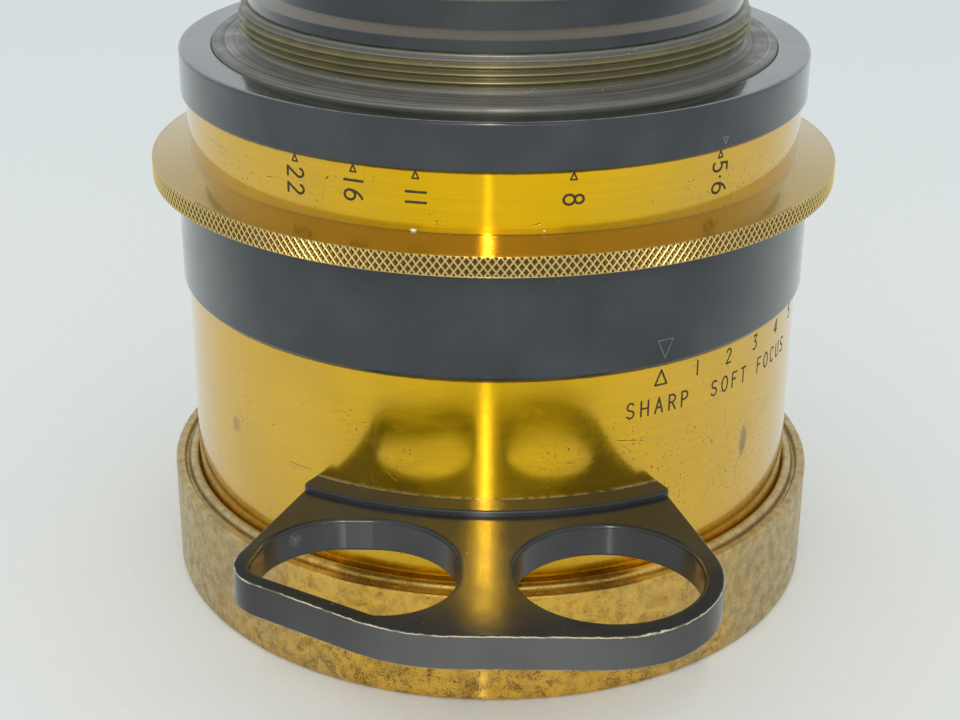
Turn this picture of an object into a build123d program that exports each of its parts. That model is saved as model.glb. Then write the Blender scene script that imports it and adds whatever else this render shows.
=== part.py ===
"""Brass portrait lens with a soft-focus front barrel, standing on its front hood.

Frame: origin at the centre of the hood's front rim, +Z along the optical axis towards the rear
(camera) end, the finger handle towards -Y.  Azimuths are degrees about +Z, measured from -Y.
All lengths are millimetres.
"""
from build123d import *
import math
import os

os.makedirs("parts", exist_ok=True)

# Fits
RUN_GAP = 0.05                 # radial running clearance of every part that turns or slides
SCREW_GAP = 0.02               # radial gap round a screw in its own body

# Front hood and front barrel
HOOD_RADIUS = 51.4
HOOD_HEIGHT = 17.3
HOOD_MOUTH_RADIUS = 48.9
HOOD_MOUTH_DEPTH = 4.2
HOOD_LIP_RADIUS = 46.0
HOOD_EDGE = 0.8
HOOD_TOP_EDGE = 0.6
BEAD_WIDTH = 1.9
BEAD_RISE = 0.45
GROOVE_WIDTH = 0.6
GROOVE_DEPTH = 0.9
BARREL_RADIUS = 47.52
BARREL_BORE = 45.1
BARREL_FRONT = 6.0
BARREL_REAR = 48.75
BARREL_EDGE = 0.15

# Cam sleeve, which turns with the front barrel
SLEEVE_OUTER = 45.05
SLEEVE_FRONT = 13.2
SLEEVE_REAR = 48.6
SLEEVE_SCREW_AZIMUTHS = (0.0, 120.0, 240.0)
SLEEVE_SCREW_HEIGHT = 15.1
SLEEVE_SCREW_RADIUS = 1.0
SLEEVE_SCREW_TIP = 42.8        # distances from the axis of the tip, the sink and the face
SLEEVE_SCREW_SINK = 46.6
SLEEVE_SCREW_FACE = 47.35

# Guide barrel: the fixed tube that carries everything
GUIDE_OUTER = 42.5
GUIDE_BORE = 39.9
GUIDE_FRONT = 10.0
RETAINER_SLOT_LENGTH = 5.0      # spanner slots that run right across the barrel retaining ring
RETAINER_SLOT_WIDTH = 1.6
RETAINER_SLOT_DEPTH = 1.0
BULKHEAD_FRONT = 47.5
BULKHEAD_REAR = 50.5
BULKHEAD_BORE = 31.0
HOUSING_FRONT = 48.85
HOUSING_OUTER = 45.9
HOUSING_STEP = 64.9
HOUSING_NECK = 43.45
HOUSING_REAR = 79.0
SETTLING_BORE = 37.5
PLATE_SEAT = 62.0
BLADE_BORE = 39.95
DRIVE_SEAT = 68.1
DRIVE_BORE = 40.9

# Black name ring and index ring
NAME_RADIUS = 48.26
NAME_REAR = 64.95
NAME_EDGE = 0.35
INDEX_RADIUS = 47.15
INDEX_FRONT = 77.65
INDEX_REAR = 84.35
INDEX_EDGE = 0.45
INDEX_BORE = 42.3

# Iris control ring: knurled flange and f-number scale
FLANGE_RADIUS = 52.0
FLANGE_FRONT = 65.05
FLANGE_REAR = 68.05
FLANGE_EDGE = 0.3
SCALE_RADIUS = 46.44
SCALE_FOOT = 69.05
SCALE_REAR = 77.55

# Rear mount: flange seat and 3.000 inch by 24 threads per inch mounting thread
SEAT_RADIUS = 42.0
SEAT_HEIGHT = 84.9
THREAD_RADIUS = 38.1
THREAD_PITCH = 25.4 / 24
THREAD_DEPTH = 0.66
THREAD_CREST = 0.14
THREAD_TURNS = 3
THREAD_FIRST_CREST = 86.97
TUBE_REAR = 90.65
TUBE_LAND_RADIUS = 37.65
TUBE_BORE = 35.5
SPIGOT_FRONT = 74.0
SPIGOT_BORE = 36.2

# Iris
BLADE_COUNT = 12
BLADE_INNER = 29.0
BLADE_OUTER = 38.0
BLADE_THICKNESS = 0.1
BLADE_SPAN = 144.0             # degrees from the pivot pin to the drive pin
BLADE_OVERHANG = 4.0           # degrees of blade beyond each pin
BLADE_RISE = 1.25              # climb of the blade, per radian of its arc
BLADE_LEVEL = 64.5             # height of the blade's middle at its pivot pin
PIN_CIRCLE = 34.0
PIN_RADIUS = 0.7
PLATE_REAR = 64.0
DRIVE_FRONT = 68.2
DRIVE_REAR = 71.2
DRIVE_INNER = 28.4
DRIVE_SLOT_INNER = 30.68       # least and greatest distance of a drive pin from the axis
DRIVE_SLOT_OUTER = 34.71
DRIVE_SLOT_WIDTH = 2.3
IRIS_TURN = 75.9               # degrees from f/5.6 to f/22

# Soft-focus motion: 0.1 mm of travel per degree of the front barrel
SOFT_TURN = 41.0
SOFT_LEAD = 36.0               # travel per whole turn
SOFT_TRAVEL = SOFT_LEAD * SOFT_TURN / 360
CAM_AZIMUTHS = (60.0, 180.0, 300.0)
CAM_HEIGHT = 31.5
ROLLER_RADIUS = 1.8
SHOULDER_RADIUS = 1.4
CAM_SCREW_RADIUS = 1.1
CAM_SCREW_TIP = 36.4           # distances from the axis, tip to face
CAM_SHOULDER_START = 39.9
CAM_ROLLER_START = 42.7
CAM_SCREW_FACE = 44.7

# Glass cells: where each element sits, and the bore of the lip that it sits on
LENS_GAP = 0.1
CARRIER_FRONT = 14.2
CARRIER_REAR = 35.5
CARRIER_BORE = 36.0
FRONT_CELL_FACE = 11.2
FRONT_CELL_REAR = 25.0
FRONT_CELL_RIM = 38.9
FRONT_SEAT_RADIUS = 31.0
FRONT_SEAT = 22.0
FRONT_LIP_RADIUS = 29.3
MIDDLE_CELL_FRONT = 44.2
MIDDLE_CELL_REAR = 58.5
MIDDLE_CELL_RIM = 34.5
MIDDLE_SEAT_RADIUS = 26.6
MIDDLE_SEAT = 57.05
MIDDLE_LIP_RADIUS = 25.2
REAR_CELL_FRONT = 83.0
REAR_CELL_TOP = 101.0
REAR_FLANGE_RADIUS = 36.9
REAR_FLANGE_TOP = 92.3
REAR_BODY_RADIUS = 35.2
REAR_NECK_RADIUS = 34.2
REAR_SEAT_RADIUS = 30.6
REAR_SEAT = 85.9
REAR_LIP_RADIUS = 29.3

# Knuckle handle
PLATE_TOP = 30.0
PLATE_THICKNESS = 4.9
PLATE_EDGE = 0.3
HOLE_EDGE = 0.6
SADDLE_BOTTOM = 24.3
SADDLE_TOP = 30.8
SADDLE_RADIUS = 51.3
SADDLE_START = -31.1
SADDLE_ARC = 60.9
SADDLE_CORNER = 1.2            # rounding of the saddle's ends, seen from above
SADDLE_EDGE = 0.35
HANDLE_SCREW_AZIMUTHS = (-22.0, -8.0, 7.0, 21.0)
HANDLE_SCREW_HEIGHT = 27.5
HANDLE_SCREW_RADIUS = 1.2
HANDLE_SCREW_TIP = 50.4        # distances from the axis
HANDLE_SCREW_FACE = 45.15
HANDLE_SINK_RADIUS = 2.2
HANDLE_HEAD_RADIUS = 2.0
HANDLE_HEAD_HEIGHT = 0.8

REAR_SCREW_AZIMUTHS = (100.0, 180.0, 260.0)


def outward(azimuth):
    """Unit vector that points away from the optical axis."""
    angle = math.radians(azimuth)
    return Vector(math.sin(angle), -math.cos(angle), 0)


def radial_plane(azimuth, radius, height):
    """Plane across a radial hole or screw, its normal pointing outward."""
    centre = outward(azimuth) * radius + Vector(0, 0, height)
    return Plane(origin=centre, x_dir=(0, 0, 1), z_dir=outward(azimuth))


def turned(*points):
    """Solid of revolution about the optical axis from (radius, height) corners."""
    with BuildSketch(Plane.XZ) as profile:
        with BuildLine():
            Polyline(*points, close=True)
        make_face()
    revolve(profile.sketch, axis=Axis.Z)


def ring(inner, outer, front, rear, mode=Mode.ADD):
    """Plain ring about the optical axis."""
    with BuildSketch(Plane.XY.offset(front)) as section:
        Circle(outer)
        if inner > 0:
            Circle(inner, mode=Mode.SUBTRACT)
    extrude(section.sketch, amount=rear - front, mode=mode)


def radial_rod(azimuth, height, start, end, radius, taper=0.0, mode=Mode.ADD):
    """Round rod or hole along a radius, between two distances from the axis."""
    with BuildSketch(radial_plane(azimuth, start, height)) as section:
        Circle(radius)
    extrude(section.sketch, amount=end - start, taper=taper, mode=mode)


def screwdriver_slot(azimuth, height, start, end, length, width=0.5):
    """Slot across a radial screw's head."""
    with BuildSketch(radial_plane(azimuth, start, height)) as section:
        Rectangle(length, width)
    extrude(section.sketch, amount=end - start, mode=Mode.SUBTRACT)


def spanner_slots(radius, face, depth, width=1.6):
    """Two notches for a lens spanner, cut into a retaining ring's face."""
    with BuildSketch(Plane.XY.offset(face)) as notches:
        with PolarLocations(radius, 2):
            Rectangle(4.0, width)
    extrude(notches.sketch, amount=depth, mode=Mode.SUBTRACT)


def sag(distance, curvature_radius):
    """Depth of a spherical surface at a distance from its vertex."""
    return curvature_radius - math.sqrt(curvature_radius**2 - distance**2)


def lens_element(radius, front_edge, rear_edge, front_curve, rear_curve):
    """Glass element; a positive curve bulges outward, a negative one is hollow."""
    front_sign = math.copysign(1, front_curve)
    rear_sign = math.copysign(1, rear_curve)
    front_sag = front_sign * sag(radius, abs(front_curve))
    rear_sag = rear_sign * sag(radius, abs(rear_curve))
    front_vertex = (0, front_edge - front_sag)
    rear_vertex = (0, rear_edge + rear_sag)
    front_middle = front_vertex[1] + front_sign * sag(radius / 2, abs(front_curve))
    rear_middle = rear_vertex[1] - rear_sign * sag(radius / 2, abs(rear_curve))
    with BuildSketch(Plane.XZ) as profile:
        with BuildLine():
            ThreePointArc(front_vertex, (radius / 2, front_middle), (radius, front_edge))
            Line((radius, front_edge), (radius, rear_edge))
            ThreePointArc((radius, rear_edge), (radius / 2, rear_middle), rear_vertex)
            Line(rear_vertex, front_vertex)
        make_face()
    revolve(profile.sketch, axis=Axis.Z)


def save(builder, name):
    """Label a finished piece and write it."""
    builder.part.label = name
    export_step(builder.part, f"parts/{name}.step")


# ---------------------------------------------------------------- front hood and front barrel
BEAD_INNER = BARREL_RADIUS + RUN_GAP

with BuildPart() as front_hood:
    turned(
        (HOOD_MOUTH_RADIUS, 0),
        (HOOD_RADIUS - HOOD_EDGE, 0),
        (HOOD_RADIUS, HOOD_EDGE),
        (HOOD_RADIUS, HOOD_HEIGHT - HOOD_TOP_EDGE),
        (HOOD_RADIUS - HOOD_TOP_EDGE, HOOD_HEIGHT),
        (BEAD_INNER + BEAD_WIDTH + GROOVE_WIDTH, HOOD_HEIGHT),
        (BEAD_INNER + BEAD_WIDTH, HOOD_HEIGHT - GROOVE_DEPTH),
        (BEAD_INNER + BEAD_WIDTH * 0.8, HOOD_HEIGHT + BEAD_RISE * 0.2),
        (BEAD_INNER + BEAD_WIDTH * 0.5, HOOD_HEIGHT + BEAD_RISE),
        (BEAD_INNER + BEAD_WIDTH * 0.2, HOOD_HEIGHT + BEAD_RISE * 0.5),
        (BEAD_INNER, HOOD_HEIGHT - BEAD_RISE),
        (BEAD_INNER, BARREL_FRONT),
        (HOOD_LIP_RADIUS, BARREL_FRONT),
        (HOOD_LIP_RADIUS, HOOD_MOUTH_DEPTH),
        (HOOD_MOUTH_RADIUS, HOOD_MOUTH_DEPTH),
    )
save(front_hood, "front_hood")

BARREL_INSIDE = BARREL_BORE - 1
BARREL_OUTSIDE = BARREL_RADIUS + 1

with BuildPart() as front_barrel:
    turned(
        (BARREL_BORE, BARREL_FRONT),
        (BARREL_RADIUS, BARREL_FRONT),
        (BARREL_RADIUS, BARREL_REAR - BARREL_EDGE),
        (BARREL_RADIUS - BARREL_EDGE, BARREL_REAR),
        (BARREL_BORE, BARREL_REAR),
    )
    for azimuth in SLEEVE_SCREW_AZIMUTHS:
        radial_rod(azimuth, SLEEVE_SCREW_HEIGHT, BARREL_INSIDE, BARREL_OUTSIDE,
                   SLEEVE_SCREW_RADIUS + SCREW_GAP, mode=Mode.SUBTRACT)
        radial_rod(azimuth, SLEEVE_SCREW_HEIGHT, SLEEVE_SCREW_SINK, BARREL_OUTSIDE,
                   SLEEVE_SCREW_RADIUS + SCREW_GAP, taper=-45, mode=Mode.SUBTRACT)
    for azimuth in HANDLE_SCREW_AZIMUTHS:
        radial_rod(azimuth, HANDLE_SCREW_HEIGHT, BARREL_INSIDE, BARREL_OUTSIDE,
                   HANDLE_SCREW_RADIUS + SCREW_GAP, mode=Mode.SUBTRACT)
        radial_rod(azimuth, HANDLE_SCREW_HEIGHT, BARREL_BORE - 0.1, BARREL_BORE + 0.9,
                   HANDLE_SINK_RADIUS + SCREW_GAP, taper=45, mode=Mode.SUBTRACT)
save(front_barrel, "front_barrel")

# One cam slot as a solid: it climbs from the +X axis to SOFT_TURN degrees short of it.
SLOT_REACH = 43.8
with BuildPart() as cam_slot:
    with BuildLine():
        slot_path = Helix(
            pitch=SOFT_LEAD,
            height=SOFT_TRAVEL,
            radius=SLOT_REACH,
            center=(0, 0, CAM_HEIGHT - SOFT_TRAVEL),
            lefthand=True,
        )
    with BuildSketch(Plane(origin=slot_path @ 0, x_dir=(1, 0, 0), z_dir=slot_path % 0)):
        Rectangle(5.0, 2 * (ROLLER_RADIUS + RUN_GAP))
    sweep(path=slot_path, is_frenet=True)
    for turn, height in ((0.0, CAM_HEIGHT - SOFT_TRAVEL), (-SOFT_TURN, CAM_HEIGHT)):
        radial_rod(90.0 + turn, height, 41.3, 46.3, ROLLER_RADIUS + RUN_GAP)

with BuildPart() as cam_sleeve:
    ring(GUIDE_OUTER + RUN_GAP, SLEEVE_OUTER, SLEEVE_FRONT, SLEEVE_REAR)
    for azimuth in CAM_AZIMUTHS:
        add(cam_slot.part.rotate(Axis.Z, azimuth - 90 + SOFT_TURN), mode=Mode.SUBTRACT)
    for azimuth in SLEEVE_SCREW_AZIMUTHS:
        radial_rod(azimuth, SLEEVE_SCREW_HEIGHT, GUIDE_OUTER - 1, SLEEVE_OUTER + 1,
                   SLEEVE_SCREW_RADIUS + SCREW_GAP, mode=Mode.SUBTRACT)
save(cam_sleeve, "cam_sleeve")

with BuildPart() as cam_sleeve_screws:
    for azimuth in SLEEVE_SCREW_AZIMUTHS:
        radial_rod(azimuth, SLEEVE_SCREW_HEIGHT, SLEEVE_SCREW_TIP, SLEEVE_SCREW_SINK,
                   SLEEVE_SCREW_RADIUS)
        radial_rod(azimuth, SLEEVE_SCREW_HEIGHT, SLEEVE_SCREW_SINK, SLEEVE_SCREW_FACE,
                   SLEEVE_SCREW_RADIUS, taper=-45)
        screwdriver_slot(azimuth, SLEEVE_SCREW_HEIGHT, SLEEVE_SCREW_FACE - 0.35,
                         BARREL_OUTSIDE, 5.0)
save(cam_sleeve_screws, "cam_sleeve_screws")

# ---------------------------------------------------------------- knuckle handle
# Outline of the plate: each corner with the radius that rounds it, from the barrel on the
# left round the front to the barrel on the right.  The left loop is worn to a blunt point.
HANDLE_CORNERS = [
    (-25.9, -43.5),
    (-34.8, -66.8),
    (-11.2, -81.6),
    (35.7, -81.5),
    (24.7, -43.5),
]
HANDLE_ROUNDS = [6.5, 25.0, 16.0]
RIGHT_HOLE_CENTRE = (15.5, -65.7)
RIGHT_HOLE_RADIUS = 12.35
LEFT_HOLE_CORNERS = [
    (-4.0, -52.6),
    (-4.0, -76.6),
    (-14.2, -76.6),
    (-31.6, -66.2),
    (-28.2, -52.6),
]
LEFT_HOLE_ROUNDS = [12.0, 9.5, 2.0, 3.5, 11.0]

with BuildPart() as knuckle_handle:
    with BuildSketch(Plane.XY.offset(PLATE_TOP - PLATE_THICKNESS)):
        with BuildLine():
            FilletPolyline(*HANDLE_CORNERS, radius=HANDLE_ROUNDS)
            Line(HANDLE_CORNERS[-1], HANDLE_CORNERS[0])
        make_face()
    extrude(amount=PLATE_THICKNESS)
    outline_edges = knuckle_handle.edges().filter_by(Plane.XY)
    loop_edges = outline_edges.filter_by(lambda edge: edge.center().Y < HANDLE_CORNERS[0][1] - 1)
    fillet(loop_edges, radius=PLATE_EDGE)
    with BuildSketch(Plane.XY.offset(PLATE_TOP - PLATE_THICKNESS)):
        with Locations(RIGHT_HOLE_CENTRE):
            Circle(RIGHT_HOLE_RADIUS)
        with BuildLine():
            FilletPolyline(*LEFT_HOLE_CORNERS, radius=LEFT_HOLE_ROUNDS, close=True)
        make_face()
    extrude(amount=PLATE_THICKNESS, mode=Mode.SUBTRACT)
    fillet(knuckle_handle.edges(Select.LAST).filter_by(Plane.XY), radius=HOLE_EDGE)
    with BuildSketch(Plane.XY.offset(SADDLE_BOTTOM)):
        with BuildLine():
            reach = 2 * SADDLE_RADIUS
            start = outward(SADDLE_START) * reach
            middle = outward(SADDLE_START + SADDLE_ARC / 2) * reach
            end = outward(SADDLE_START + SADDLE_ARC) * reach
            Polyline((0, 0), start, middle, end, close=True)
        make_face()
        Circle(SADDLE_RADIUS, mode=Mode.INTERSECT)
        Circle(BARREL_RADIUS - 1, mode=Mode.SUBTRACT)
        corners = vertices().filter_by(
            lambda corner: math.hypot(corner.X, corner.Y) > BARREL_RADIUS)
        fillet(corners, radius=SADDLE_CORNER)
    extrude(amount=SADDLE_TOP - SADDLE_BOTTOM)
    top_edges = knuckle_handle.edges().group_by(Axis.Z)[-1]
    outer_edges = top_edges.filter_by(
        lambda edge: math.hypot(edge.center().X, edge.center().Y) > BARREL_RADIUS)
    fillet(outer_edges, radius=SADDLE_EDGE)
    ring(0, BARREL_RADIUS, SADDLE_BOTTOM - 1, SADDLE_TOP + 1, mode=Mode.SUBTRACT)
    for azimuth in HANDLE_SCREW_AZIMUTHS:
        radial_rod(azimuth, HANDLE_SCREW_HEIGHT, BARREL_BORE, HANDLE_SCREW_TIP + 0.2,
                   HANDLE_SCREW_RADIUS + SCREW_GAP, mode=Mode.SUBTRACT)
save(knuckle_handle, "knuckle_handle")

with BuildPart() as handle_screws:
    for azimuth in HANDLE_SCREW_AZIMUTHS:
        radial_rod(azimuth, HANDLE_SCREW_HEIGHT, HANDLE_SCREW_FACE + 0.15, HANDLE_SCREW_TIP,
                   HANDLE_SCREW_RADIUS)
        radial_rod(azimuth, HANDLE_SCREW_HEIGHT, HANDLE_SCREW_FACE,
                   HANDLE_SCREW_FACE + HANDLE_HEAD_HEIGHT, HANDLE_HEAD_RADIUS, taper=45)
        screwdriver_slot(azimuth, HANDLE_SCREW_HEIGHT, BARREL_INSIDE, HANDLE_SCREW_FACE + 0.35,
                         5.0)
save(handle_screws, "handle_screws")

# ---------------------------------------------------------------- guide barrel and outer rings
KEY_AZIMUTH = 180.0
KEY_HEIGHT = 69.7
KEY_RADIUS = 0.8
KEY_TIP = 37.0                 # distances from the axis of the tip and of the head's seat
KEY_HEAD_SEAT = 45.4
KEY_HEAD_RADIUS = 1.5
NAME_SCREW_HEIGHT = 56.9
INDEX_SCREW_HEIGHT = 81.8
GRUB_RADIUS = 1.0
GRUB_TIP = 43.8

with BuildPart() as guide_barrel:
    turned(
        (GUIDE_BORE, GUIDE_FRONT),
        (GUIDE_OUTER, GUIDE_FRONT),
        (GUIDE_OUTER, HOUSING_FRONT),
        (HOUSING_OUTER, HOUSING_FRONT),
        (HOUSING_OUTER, HOUSING_STEP),
        (HOUSING_NECK, HOUSING_STEP),
        (HOUSING_NECK, HOUSING_REAR),
        (DRIVE_BORE, HOUSING_REAR),
        (DRIVE_BORE, DRIVE_SEAT),
        (BLADE_BORE, DRIVE_SEAT),
        (BLADE_BORE, PLATE_SEAT),
        (SETTLING_BORE, PLATE_SEAT),
        (SETTLING_BORE, BULKHEAD_REAR),
        (BULKHEAD_BORE, BULKHEAD_REAR),
        (BULKHEAD_BORE, BULKHEAD_FRONT),
        (GUIDE_BORE, BULKHEAD_FRONT),
    )
    for azimuth in CAM_AZIMUTHS:
        with BuildSketch(radial_plane(azimuth, 38.0, CAM_HEIGHT - SOFT_TRAVEL / 2)):
            SlotCenterToCenter(SOFT_TRAVEL, 2 * (SHOULDER_RADIUS + RUN_GAP))
        extrude(amount=6.0, mode=Mode.SUBTRACT)
    with BuildSketch(Plane.XY.offset(KEY_HEIGHT - KEY_RADIUS - RUN_GAP)):
        Circle(HOUSING_NECK + 1)
        Circle(DRIVE_BORE - 1, mode=Mode.SUBTRACT)
        with BuildLine():
            key_reach = 2 * HOUSING_NECK
            key_start = outward(KEY_AZIMUTH - 1.3) * key_reach
            key_middle = outward(KEY_AZIMUTH + IRIS_TURN / 2) * key_reach
            key_end = outward(KEY_AZIMUTH + IRIS_TURN + 1.3) * key_reach
            Polyline((0, 0), key_start, key_middle, key_end, close=True)
        make_face(mode=Mode.INTERSECT)
    extrude(amount=2 * (KEY_RADIUS + RUN_GAP), mode=Mode.SUBTRACT)
    for azimuth in REAR_SCREW_AZIMUTHS:
        radial_rod(azimuth, NAME_SCREW_HEIGHT, GRUB_TIP - 0.3, HOUSING_OUTER + 1,
                   GRUB_RADIUS + SCREW_GAP, mode=Mode.SUBTRACT)
save(guide_barrel, "guide_barrel")

with BuildPart() as barrel_retaining_ring:
    ring(GUIDE_OUTER, BARREL_BORE - 0.2, GUIDE_FRONT, SLEEVE_FRONT - 0.2)
    with BuildSketch(Plane.XY.offset(GUIDE_FRONT)):
        with PolarLocations((GUIDE_OUTER + BARREL_BORE) / 2, 4):
            Rectangle(RETAINER_SLOT_LENGTH, RETAINER_SLOT_WIDTH)
    extrude(amount=RETAINER_SLOT_DEPTH, mode=Mode.SUBTRACT)
save(barrel_retaining_ring, "barrel_retaining_ring")

with BuildPart() as name_ring:
    turned(
        (HOUSING_OUTER + RUN_GAP, HOUSING_FRONT),
        (NAME_RADIUS - NAME_EDGE, HOUSING_FRONT),
        (NAME_RADIUS, HOUSING_FRONT + NAME_EDGE),
        (NAME_RADIUS, NAME_REAR - NAME_EDGE),
        (NAME_RADIUS - NAME_EDGE, NAME_REAR),
        (HOUSING_OUTER + RUN_GAP, NAME_REAR),
    )
    for azimuth in REAR_SCREW_AZIMUTHS:
        radial_rod(azimuth, NAME_SCREW_HEIGHT, HOUSING_OUTER - 1, NAME_RADIUS + 1,
                   GRUB_RADIUS + SCREW_GAP, mode=Mode.SUBTRACT)
save(name_ring, "name_ring")

with BuildPart() as name_ring_screws:
    for azimuth in REAR_SCREW_AZIMUTHS:
        radial_rod(azimuth, NAME_SCREW_HEIGHT, GRUB_TIP, NAME_RADIUS - 0.26, GRUB_RADIUS)
        screwdriver_slot(azimuth, NAME_SCREW_HEIGHT, NAME_RADIUS - 0.86, NAME_RADIUS + 1, 3.0,
                         0.4)
save(name_ring_screws, "name_ring_screws")

# ---------------------------------------------------------------- rear mount barrel
with BuildPart() as mount_barrel:
    thread_root = THREAD_RADIUS - THREAD_DEPTH
    flank = (THREAD_PITCH - THREAD_CREST) / 2
    thread_points = []
    for turn in range(THREAD_TURNS):
        crest_height = THREAD_FIRST_CREST + turn * THREAD_PITCH
        thread_points.append((thread_root, crest_height - THREAD_CREST / 2 - flank))
        thread_points.append((THREAD_RADIUS, crest_height - THREAD_CREST / 2))
        thread_points.append((THREAD_RADIUS, crest_height + THREAD_CREST / 2))
    turned(
        (SPIGOT_BORE, SPIGOT_FRONT),
        (DRIVE_BORE - RUN_GAP, SPIGOT_FRONT),
        (DRIVE_BORE - RUN_GAP, HOUSING_REAR),
        (INDEX_BORE - RUN_GAP, HOUSING_REAR),
        (INDEX_BORE - RUN_GAP, SEAT_HEIGHT - 0.5),
        (SEAT_RADIUS, SEAT_HEIGHT),
        (THREAD_RADIUS + 0.15, SEAT_HEIGHT),
        (thread_root - 0.2, SEAT_HEIGHT + 0.35),
        (thread_root - 0.2, THREAD_FIRST_CREST - THREAD_CREST / 2 - flank - 0.2),
        *thread_points,
        (TUBE_LAND_RADIUS, THREAD_FIRST_CREST + (THREAD_TURNS - 1) * THREAD_PITCH + 0.3),
        (TUBE_LAND_RADIUS, TUBE_REAR - 0.25),
        (TUBE_LAND_RADIUS - 0.25, TUBE_REAR),
        (TUBE_BORE, TUBE_REAR),
        (TUBE_BORE, HOUSING_REAR + 1.0),
        (SPIGOT_BORE, HOUSING_REAR + 0.3),
    )
    for azimuth in REAR_SCREW_AZIMUTHS:
        radial_rod(azimuth, INDEX_SCREW_HEIGHT, INDEX_BORE - 2.3, INDEX_BORE + 1,
                   GRUB_RADIUS + SCREW_GAP, mode=Mode.SUBTRACT)
save(mount_barrel, "mount_barrel")

with BuildPart() as index_ring:
    turned(
        (HOUSING_NECK + RUN_GAP, INDEX_FRONT),
        (INDEX_RADIUS - 0.2, INDEX_FRONT),
        (INDEX_RADIUS, INDEX_FRONT + 0.2),
        (INDEX_RADIUS, INDEX_REAR - INDEX_EDGE),
        (INDEX_RADIUS - INDEX_EDGE, INDEX_REAR),
        (INDEX_BORE + 0.2, INDEX_REAR),
        (INDEX_BORE, INDEX_REAR - 0.2),
        (INDEX_BORE, HOUSING_REAR + 0.1),
        (HOUSING_NECK + RUN_GAP, HOUSING_REAR + 0.1),
    )
    for azimuth in REAR_SCREW_AZIMUTHS:
        radial_rod(azimuth, INDEX_SCREW_HEIGHT, INDEX_BORE - 1, INDEX_RADIUS + 1,
                   GRUB_RADIUS + SCREW_GAP, mode=Mode.SUBTRACT)
save(index_ring, "index_ring")

with BuildPart() as index_ring_screws:
    for azimuth in REAR_SCREW_AZIMUTHS:
        radial_rod(azimuth, INDEX_SCREW_HEIGHT, INDEX_BORE - 2, INDEX_RADIUS - 0.25,
                   GRUB_RADIUS)
        screwdriver_slot(azimuth, INDEX_SCREW_HEIGHT, INDEX_RADIUS - 0.85, INDEX_RADIUS + 1,
                         3.0, 0.4)
save(index_ring_screws, "index_ring_screws")

# ---------------------------------------------------------------- iris
with BuildPart() as iris_control_ring:
    turned(
        (HOUSING_NECK + RUN_GAP, FLANGE_FRONT),
        (FLANGE_RADIUS - FLANGE_EDGE, FLANGE_FRONT),
        (FLANGE_RADIUS, FLANGE_FRONT + FLANGE_EDGE),
        (FLANGE_RADIUS, FLANGE_REAR - FLANGE_EDGE),
        (FLANGE_RADIUS - FLANGE_EDGE, FLANGE_REAR),
        (SCALE_RADIUS, SCALE_FOOT),
        (SCALE_RADIUS, SCALE_REAR - 0.15),
        (SCALE_RADIUS - 0.15, SCALE_REAR),
        (HOUSING_NECK + RUN_GAP, SCALE_REAR),
    )
    radial_rod(KEY_AZIMUTH, KEY_HEIGHT, HOUSING_NECK - 1, SCALE_RADIUS + 1,
               KEY_RADIUS + SCREW_GAP, mode=Mode.SUBTRACT)
    radial_rod(KEY_AZIMUTH, KEY_HEIGHT, KEY_HEAD_SEAT, SCALE_RADIUS + 1,
               KEY_HEAD_RADIUS + SCREW_GAP, mode=Mode.SUBTRACT)
save(iris_control_ring, "iris_control_ring")

with BuildPart() as iris_key_screw:
    radial_rod(KEY_AZIMUTH, KEY_HEIGHT, KEY_TIP, KEY_HEAD_SEAT + 0.1, KEY_RADIUS)
    radial_rod(KEY_AZIMUTH, KEY_HEIGHT, KEY_HEAD_SEAT + 0.05, SCALE_RADIUS - 0.14,
               KEY_HEAD_RADIUS)
    screwdriver_slot(KEY_AZIMUTH, KEY_HEIGHT, SCALE_RADIUS - 0.54, SCALE_RADIUS + 1, 4.0)
save(iris_key_screw, "iris_key_screw")

with BuildPart() as iris_pivot_plate:
    ring(BLADE_INNER, BLADE_BORE - RUN_GAP, PLATE_SEAT, PLATE_REAR)
    with BuildSketch(Plane.XY.offset(PLATE_SEAT)):
        with PolarLocations(PIN_CIRCLE, BLADE_COUNT):
            Circle(PIN_RADIUS + RUN_GAP)
    extrude(amount=PLATE_REAR - PLATE_SEAT, mode=Mode.SUBTRACT)
save(iris_pivot_plate, "iris_pivot_plate")

# One blade, its arc starting on the +X axis.  It climbs along the arc, so that it lies over
# the pivot ends of the blades that follow it.
blade_arc = math.radians(BLADE_SPAN + 2 * BLADE_OVERHANG)
blade_foot = BLADE_LEVEL - BLADE_RISE * math.radians(BLADE_OVERHANG)
drive_level = BLADE_LEVEL + BLADE_RISE * math.radians(BLADE_SPAN)
with BuildPart() as blade:
    with BuildLine():
        blade_path = Helix(
            pitch=2 * math.pi * BLADE_RISE,
            height=BLADE_RISE * blade_arc,
            radius=(BLADE_INNER + BLADE_OUTER) / 2,
            center=(0, 0, blade_foot),
        )
    with BuildSketch(Plane(origin=blade_path @ 0, x_dir=(1, 0, 0), z_dir=blade_path % 0)):
        Rectangle(BLADE_OUTER - BLADE_INNER, BLADE_THICKNESS)
    sweep(path=blade_path, is_frenet=True)
    with BuildSketch(Plane.XY.offset(PLATE_SEAT + 0.3)):
        with PolarLocations(PIN_CIRCLE, 1, start_angle=BLADE_OVERHANG):
            Circle(PIN_RADIUS)
    extrude(amount=BLADE_LEVEL - PLATE_SEAT - 0.3)
    with BuildSketch(Plane.XY.offset(drive_level)):
        with PolarLocations(PIN_CIRCLE, 1, start_angle=BLADE_OVERHANG + BLADE_SPAN):
            Circle(PIN_RADIUS)
    extrude(amount=DRIVE_REAR - 0.2 - drive_level)

for index in range(BLADE_COUNT):
    pivot_angle = index * 360 / BLADE_COUNT
    with BuildPart() as iris_blade:
        add(blade.part.rotate(Axis.Z, pivot_angle - BLADE_OVERHANG))
    save(iris_blade, f"iris_blade_{index + 1:02d}")

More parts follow.
